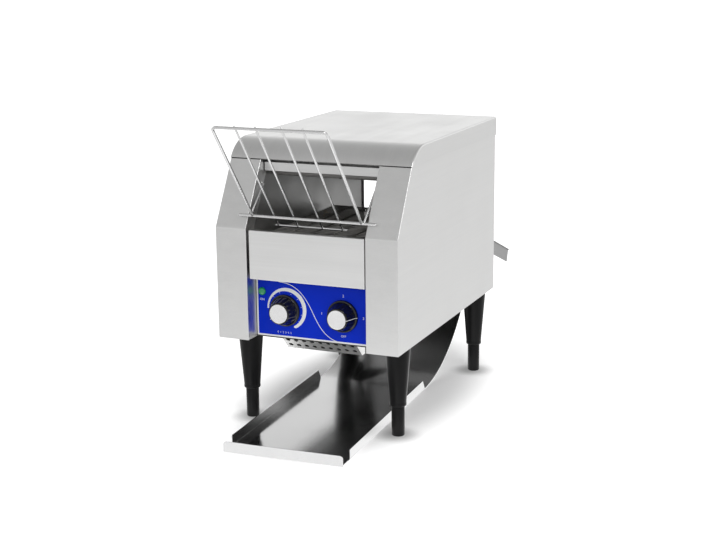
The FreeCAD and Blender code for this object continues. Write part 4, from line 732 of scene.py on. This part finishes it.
print("feed rack made")

# Belt of crimped wires

belt = {"front": 44.0, "rear": 253.44, "high": 248.0, "round": 16.0, "half": 74.0, "wires": 62, "zones": 5,
        "wire": 0.8, "step": 0.5}


def beltLoop(s):
    # racetrack: distance along it to (depth, z) and its outward normal, top run first
    b = belt
    run = b["rear"] - b["front"]
    turn = math.pi * b["round"]
    s = np.mod(s, 2 * (run + turn))
    angle = np.where(s < run + turn, np.clip((s - run) / b["round"], 0, math.pi),
                     np.pi + np.clip((s - 2 * run - turn) / b["round"], 0, math.pi))
    along = np.clip(s, 0, run) - np.clip(s - run - turn, 0, run)
    normal = np.stack([np.sin(angle), np.cos(angle)], axis=-1)
    return np.stack([b["front"] + along, np.full(s.shape, b["high"])], axis=-1) + normal * b["round"], normal


def beltWires():
    # wire k crosses the belt with its runs stepped along the travel from zone to zone, and at each step it
    # dips under and over its neighbour in a small hook
    b = belt
    pitch = 2 * (b["rear"] - b["front"] + math.pi * b["round"]) / b["wires"]
    zone = 2 * b["half"] / b["zones"]
    xs, offs, lifts = [], [], []
    for number in range(b["zones"]):
        x0 = -b["half"] + zone * number
        base = 0.0 if number % 2 else b["step"]
        toward = b["step"] - base
        shape = [(0.6, base, 0.0), (3.2, base, 0.0), (zone / 2, base, 0.0), (zone - 3.2, base, 0.0),
                 (zone - 1.6, base, 0.45), (zone - 0.9, base * 0.6 + toward * 0.4 + 0.55, 0.75),
                 (zone - 0.1, base * 0.4 + toward * 0.6 + 0.6, 0.1), (zone + 0.1, toward, -0.45)]
        for dx, off, lift in shape[: -3 if number == b["zones"] - 1 else None]:
            xs.append(x0 + dx)
            offs.append(off)
            lifts.append(lift)
    s = (np.arange(b["wires"])[:, None] + np.array(offs)[None, :]) * pitch
    place, normal = beltLoop(s)
    lift = np.array(lifts)[None, :, None] * b["wire"]
    place = place + normal * lift
    lines = np.stack([np.broadcast_to(np.array(xs), s.shape), place[..., 0], place[..., 1]], axis=-1)
    across = np.stack([np.zeros(s.shape), normal[..., 0], normal[..., 1]], axis=-1)
    grids = tubeGrid(lines, b["wire"], across, 6)
    return [sheetPatch(grid, closeCols=True) for grid in grids]


makePiece("conveyor_belt", beltWires(), "housing", wireDark, ["conveyor_belt"], sharp=60)
print("belt made")

# Chute

chute = {"front": -89.0, "half": 83.0, "gauge": 1.2, "flatEnd": 243.0, "bend": 280.0, "angle": 72.0,
         "lip": 15.0, "lipRound": 4.0, "flangeFront": -64.0, "slope": 8.0, "fold": 1.6, "turn": 2.6,
         "turnDeep": 30.0}


def turnedChute(patches):
    # every point carried round an upright axis at (0, turnDeep) by the turn, its rear to the left
    a = math.radians(chute["turn"])
    rotation = np.array([[math.cos(a), math.sin(a), 0], [-math.sin(a), math.cos(a), 0], [0, 0, 1]])
    middle = np.array([0, chute["turnDeep"], 0])
    lifted = middle + (0, 0, 0.02)
    facings = [tuple(np.array(facing) @ rotation) for _, _, facing in patches]
    return [((points - middle) @ rotation + lifted, faces, facing)
            for (points, faces, _), facing in zip(patches, facings)]


def chuteSheet():
    # floor and its arc: depth and height of the side-view line, the width carried straight across;
    # lip and side flanges rise from it over a quarter bend
    c = chute
    t = np.radians(np.linspace(0, c["angle"], 40))
    flat = densified(np.array([(c["front"] + c["fold"], c["gauge"]), (c["flatEnd"], c["gauge"])]), 30)
    arc = np.stack([c["flatEnd"] + (c["bend"] - c["gauge"]) * np.sin(t),
                    c["bend"] - (c["bend"] - c["gauge"]) * np.cos(t)], axis=1)
    line = np.concatenate([flat, arc[1:]])
    edge = c["half"] - c["fold"]
    width = np.array([-c["half"] + 0.02, -edge, -40, 0, 40, edge, c["half"] - 0.02])
    floor = np.stack([np.broadcast_to(width[:, None], (7, len(line))),
                      np.broadcast_to(line[:, 0], (7, len(line))),
                      np.broadcast_to(line[:, 1], (7, len(line)))], axis=-1)
    q = np.linspace(0, math.pi / 2, 6)
    ease = c["fold"] - c["gauge"]
    patches = [(*sheetPatch(floor[1:-1]), (0, -0.3, 1))]
    past = line[:, 0] >= c["flatEnd"] - 0.01
    for strip in (floor[:2], floor[-2:]):
        patches.append((*sheetPatch(strip[:, past]), (0, -0.3, 1)))
    # side flanges
    stations = np.array([c["flangeFront"], c["flangeFront"] + 2, 0, 120, c["flatEnd"] - c["slope"],
                         c["flatEnd"]])
    tops = np.array([c["lip"] - 2, c["lip"], c["lip"], c["lip"], c["lip"], c["gauge"] + c["fold"] + 0.3])
    for side in (-1, 1):
        rows = [np.stack([np.full(6, side * (edge + ease * math.sin(a))), stations,
                          np.full(6, c["gauge"] + ease * (1 - math.cos(a)))], axis=1) for a in q]
        rows.append(np.stack([np.full(6, side * (c["half"] - c["gauge"])), stations, tops], axis=1))
        patches.append((*sheetPatch(np.array(rows)), (-side, 0, 0.2)))
    # lip
    span = np.concatenate([[-c["half"]], -c["half"] + c["lipRound"] * (1 - np.cos(q))[1:],
                           (c["half"] - c["lipRound"] * (1 - np.cos(q)))[::-1]])
    rise = np.concatenate([[0], c["lipRound"] * np.sin(q)[1:], c["lipRound"] * np.sin(q)[::-1]])
    tops = c["lip"] - c["lipRound"] + rise
    count = len(span)
    rows = [np.stack([span, np.full(count, c["front"] + c["fold"] - ease * math.sin(a)),
                      np.full(count, c["gauge"] + ease * (1 - math.cos(a)))], axis=1) for a in q]
    rows.append(np.stack([span, np.full(count, c["front"] + c["gauge"]), tops], axis=1))
    patches.append((*sheetPatch(np.array(rows)), (0, 1, 0.2)))
    return patches


makePiece("chute", turnedChute(chuteSheet()), "loose_chute", steelPolished, ["chute"],
          wall=chute["gauge"], sharp=45)
print("chute made")

# Studio

studio = {"floorHalf": 40.0, "floorLow": -0.0004, "seenFrom": (0.2, 0.4), "seenLift": (0.12, 0.75),
          "squeeze": 1.95,
          "mirroredFrom": (-1.3, -0.4), "mirroredLift": (0.06, 0.31), "closeFrom": (0.36, 0.5),
          "closeLift": (0.85, 0.0), "footAt": (0.1087, 0.15675), "feetMiddle": 0.20865,
          # the reach and tone of the painted contact shadow round the feet come next
          "footShadowReach": (0.007, 0.04), "footShadowTone": (0.2, 0.88), "softboxPower": 12.0}  # metres


def floorFinish():
    finish = bpy.data.materials.new("studioFloor")
    finish.use_nodes = True
    nodes, links = finish.node_tree.nodes, finish.node_tree.links
    shader = nodes["Principled BSDF"]
    shader.inputs["Roughness"].default_value = 0.9
    shader.inputs["Specular IOR Level"].default_value = 0.0
    # own light for the eye and for reflections only: seen, it grows with the distance from the middle (an
    # ellipse, narrow from left to right); mirrored, it grows from the front to the middle, strongest close in
    place = nodes.new("ShaderNodeTexCoord").outputs["Object"]
    squeezed = nodes.new("ShaderNodeVectorMath")
    squeezed.operation = "MULTIPLY"
    links.new(place, squeezed.inputs[0])
    squeezed.inputs[1].default_value = (studio["squeeze"], 1, 1)
    reach = lengthOf(nodes, links, squeezed.outputs["Vector"])
    split = nodes.new("ShaderNodeSeparateXYZ")
    links.new(place, split.inputs[0])
    path = nodes.new("ShaderNodeLightPath")
    total = 0.0
    for source, (near, far), (dim, bright), kinds in (
            (reach, studio["seenFrom"], studio["seenLift"], ("Is Camera Ray",)),
            (split.outputs["Y"], studio["mirroredFrom"], studio["mirroredLift"],
             ("Is Glossy Ray", "Is Transmission Ray")),
            (reach, studio["closeFrom"], studio["closeLift"], ("Is Glossy Ray",))):
        lift = nodes.new("ShaderNodeMapRange")
        lift.interpolation_type = "SMOOTHSTEP"
        for socket, value in (("From Min", near), ("From Max", far), ("To Min", dim), ("To Max", bright)):
            lift.inputs[socket].default_value = value
        links.new(source, lift.inputs["Value"])
        for kind in kinds:
            total = worked(nodes, links, "MULTIPLY_ADD", lift.outputs["Result"], path.outputs[kind], total)
    # painted contact shadow: the floor's colour darker round the four feet, from the distance to the nearest
    # one, with x and y folded about the middle
    spans = []
    for axis, middle, apart in (("X", 0.0, studio["footAt"][0]),
                                ("Y", columnFace + studio["feetMiddle"], studio["footAt"][1])):
        shifted = worked(nodes, links, "SUBTRACT", split.outputs[axis], middle)
        spans.append(worked(nodes, links, "SUBTRACT", worked(nodes, links, "ABSOLUTE", shifted), apart))
    away = flatDistance(nodes, links, *spans)
    tone = nodes.new("ShaderNodeMapRange")
    tone.interpolation_type = "SMOOTHSTEP"
    footShadowTones = studio["footShadowReach"] + studio["footShadowTone"]
    for socket, value in zip(("From Min", "From Max", "To Min", "To Max"), footShadowTones):
        tone.inputs[socket].default_value = value
    links.new(away, tone.inputs["Value"])
    links.new(tone.outputs["Result"], shader.inputs["Base Color"])
    shader.inputs["Emission Color"].default_value = (1, 1, 1, 1)
    links.new(total, shader.inputs["Emission Strength"])
    return finish


def studioSheet(name, corners, finish):
    mesh = bpy.data.meshes.new(name)
    mesh.from_pydata(corners, [], [(0, 1, 2, 3)])
    sheet = bpy.data.objects.new(name, mesh)
    bpy.context.scene.collection.objects.link(sheet)
    mesh.materials.append(finish)
    return sheet


half, low = studio["floorHalf"], studio["floorLow"]
floor = studioSheet("studioFloor", [(-half, -half, low), (half, -half, low), (half, half, low),
                                    (-half, half, low)], floorFinish())

card = {"left": -0.2, "right": -0.01, "back": 0.335, "low": 0.1, "high": 0.28}
flagCorners = [(card["left"], card["back"], card["low"]), (card["right"], card["back"], card["low"]),
               (card["right"], card["back"], card["high"]), (card["left"], card["back"], card["high"])]
flag = studioSheet("studioFlag", flagCorners,
                   mouldedFinish("flagBlack", (0.01, 0.01, 0.01), 0.9, Specular_IOR_Level=0.0))
flag.visible_camera = False  # a dark card behind the machine, there for reflections alone
flag.visible_shadow = False
flag.visible_diffuse = False


def studioWorld():
    # tone from the direction alone: white at the horizon, one softly darker band high at the back and one high
    # in front, mixed by how far the direction points to the back
    world = bpy.data.worlds.new("studioWorld")
    bpy.context.scene.world = world
    world.use_nodes = True
    nodes, links = world.node_tree.nodes, world.node_tree.links
    background = nodes["Background"]
    split = nodes.new("ShaderNodeSeparateXYZ")
    links.new(nodes.new("ShaderNodeTexCoord").outputs["Generated"], split.inputs[0])
    ramps = []
    for stops in (((0.0, 1.0), (0.25, 0.95), (0.45, 0.76), (0.66, 0.61), (0.9, 0.48), (1.0, 0.45)),
                  ((0.0, 1.1), (0.12, 1.3), (0.3, 1.28), (0.45, 0.84), (0.68, 0.56), (1.0, 0.45))):
        ramp = nodes.new("ShaderNodeValToRGB")
        ramp.color_ramp.interpolation = "EASE"
        while len(ramp.color_ramp.elements) < len(stops):
            ramp.color_ramp.elements.new(0.5)
        for element, (spot, tone) in zip(ramp.color_ramp.elements, stops):
            element.position = spot
            element.color = (tone, tone, tone, 1)
        links.new(split.outputs["Z"], ramp.inputs["Fac"])
        ramps.append(ramp.outputs["Color"])
    back = nodes.new("ShaderNodeMapRange")
    back.interpolation_type = "SMOOTHSTEP"
    back.inputs["From Min"].default_value = -0.3
    back.inputs["From Max"].default_value = 0.3
    links.new(split.outputs["Y"], back.inputs["Value"])
    blend = nodes.new("ShaderNodeMix")
    blend.data_type = "RGBA"
    links.new(back.outputs["Result"], blend.inputs["Factor"])
    links.new(ramps[0], blend.inputs["A"])
    links.new(ramps[1], blend.inputs["B"])
    links.new(blend.outputs["Result"], background.inputs["Color"])
    background.inputs["Strength"].default_value = 1.0


studioWorld()
softbox = bpy.data.lights.new("softbox", "AREA")
softbox.shape = "RECTANGLE"
softbox.size = 0.9
softbox.size_y = 0.5
softbox.energy = studio["softboxPower"]
softboxHolder = bpy.data.objects.new("softbox", softbox)
bpy.context.scene.collection.objects.link(softboxHolder)
softboxHolder.location = (1.1, -1.2, 1.9)
aim = Vector((0, -0.1, 0.2)) - softboxHolder.location
softboxHolder.rotation_euler = aim.to_track_quat("-Z", "Y").to_euler()

view = {"at": (760.5, -1586.9, 642.2), "yaw": -23.358, "pitch": 13.262, "roll": -0.613, "lens": 70.12}
yaw, pitch, roll = (math.radians(view[word]) for word in ("yaw", "pitch", "roll"))
forward = Vector((math.sin(yaw) * math.cos(pitch), math.cos(yaw) * math.cos(pitch), -math.sin(pitch)))
level = Vector((math.cos(yaw), -math.sin(yaw), 0))
upright = level.cross(forward)
right = level * math.cos(roll) + upright * math.sin(roll)
up = upright * math.cos(roll) - level * math.sin(roll)
lens = bpy.data.cameras.new("studioCamera")
lens.lens = view["lens"]
lens.sensor_width = 36
camera = bpy.data.objects.new("studioCamera", lens)
bpy.context.scene.collection.objects.link(camera)
spot = Vector(view["at"]) * 0.001 + Vector((0, columnFace, 0))
camera.matrix_world = Matrix(((right.x, up.x, -forward.x, spot.x), (right.y, up.y, -forward.y, spot.y),
                              (right.z, up.z, -forward.z, spot.z), (0, 0, 0, 1)))
bpy.context.scene.camera = camera
bpy.context.scene.view_settings.view_transform = "Standard"
print("studio set")
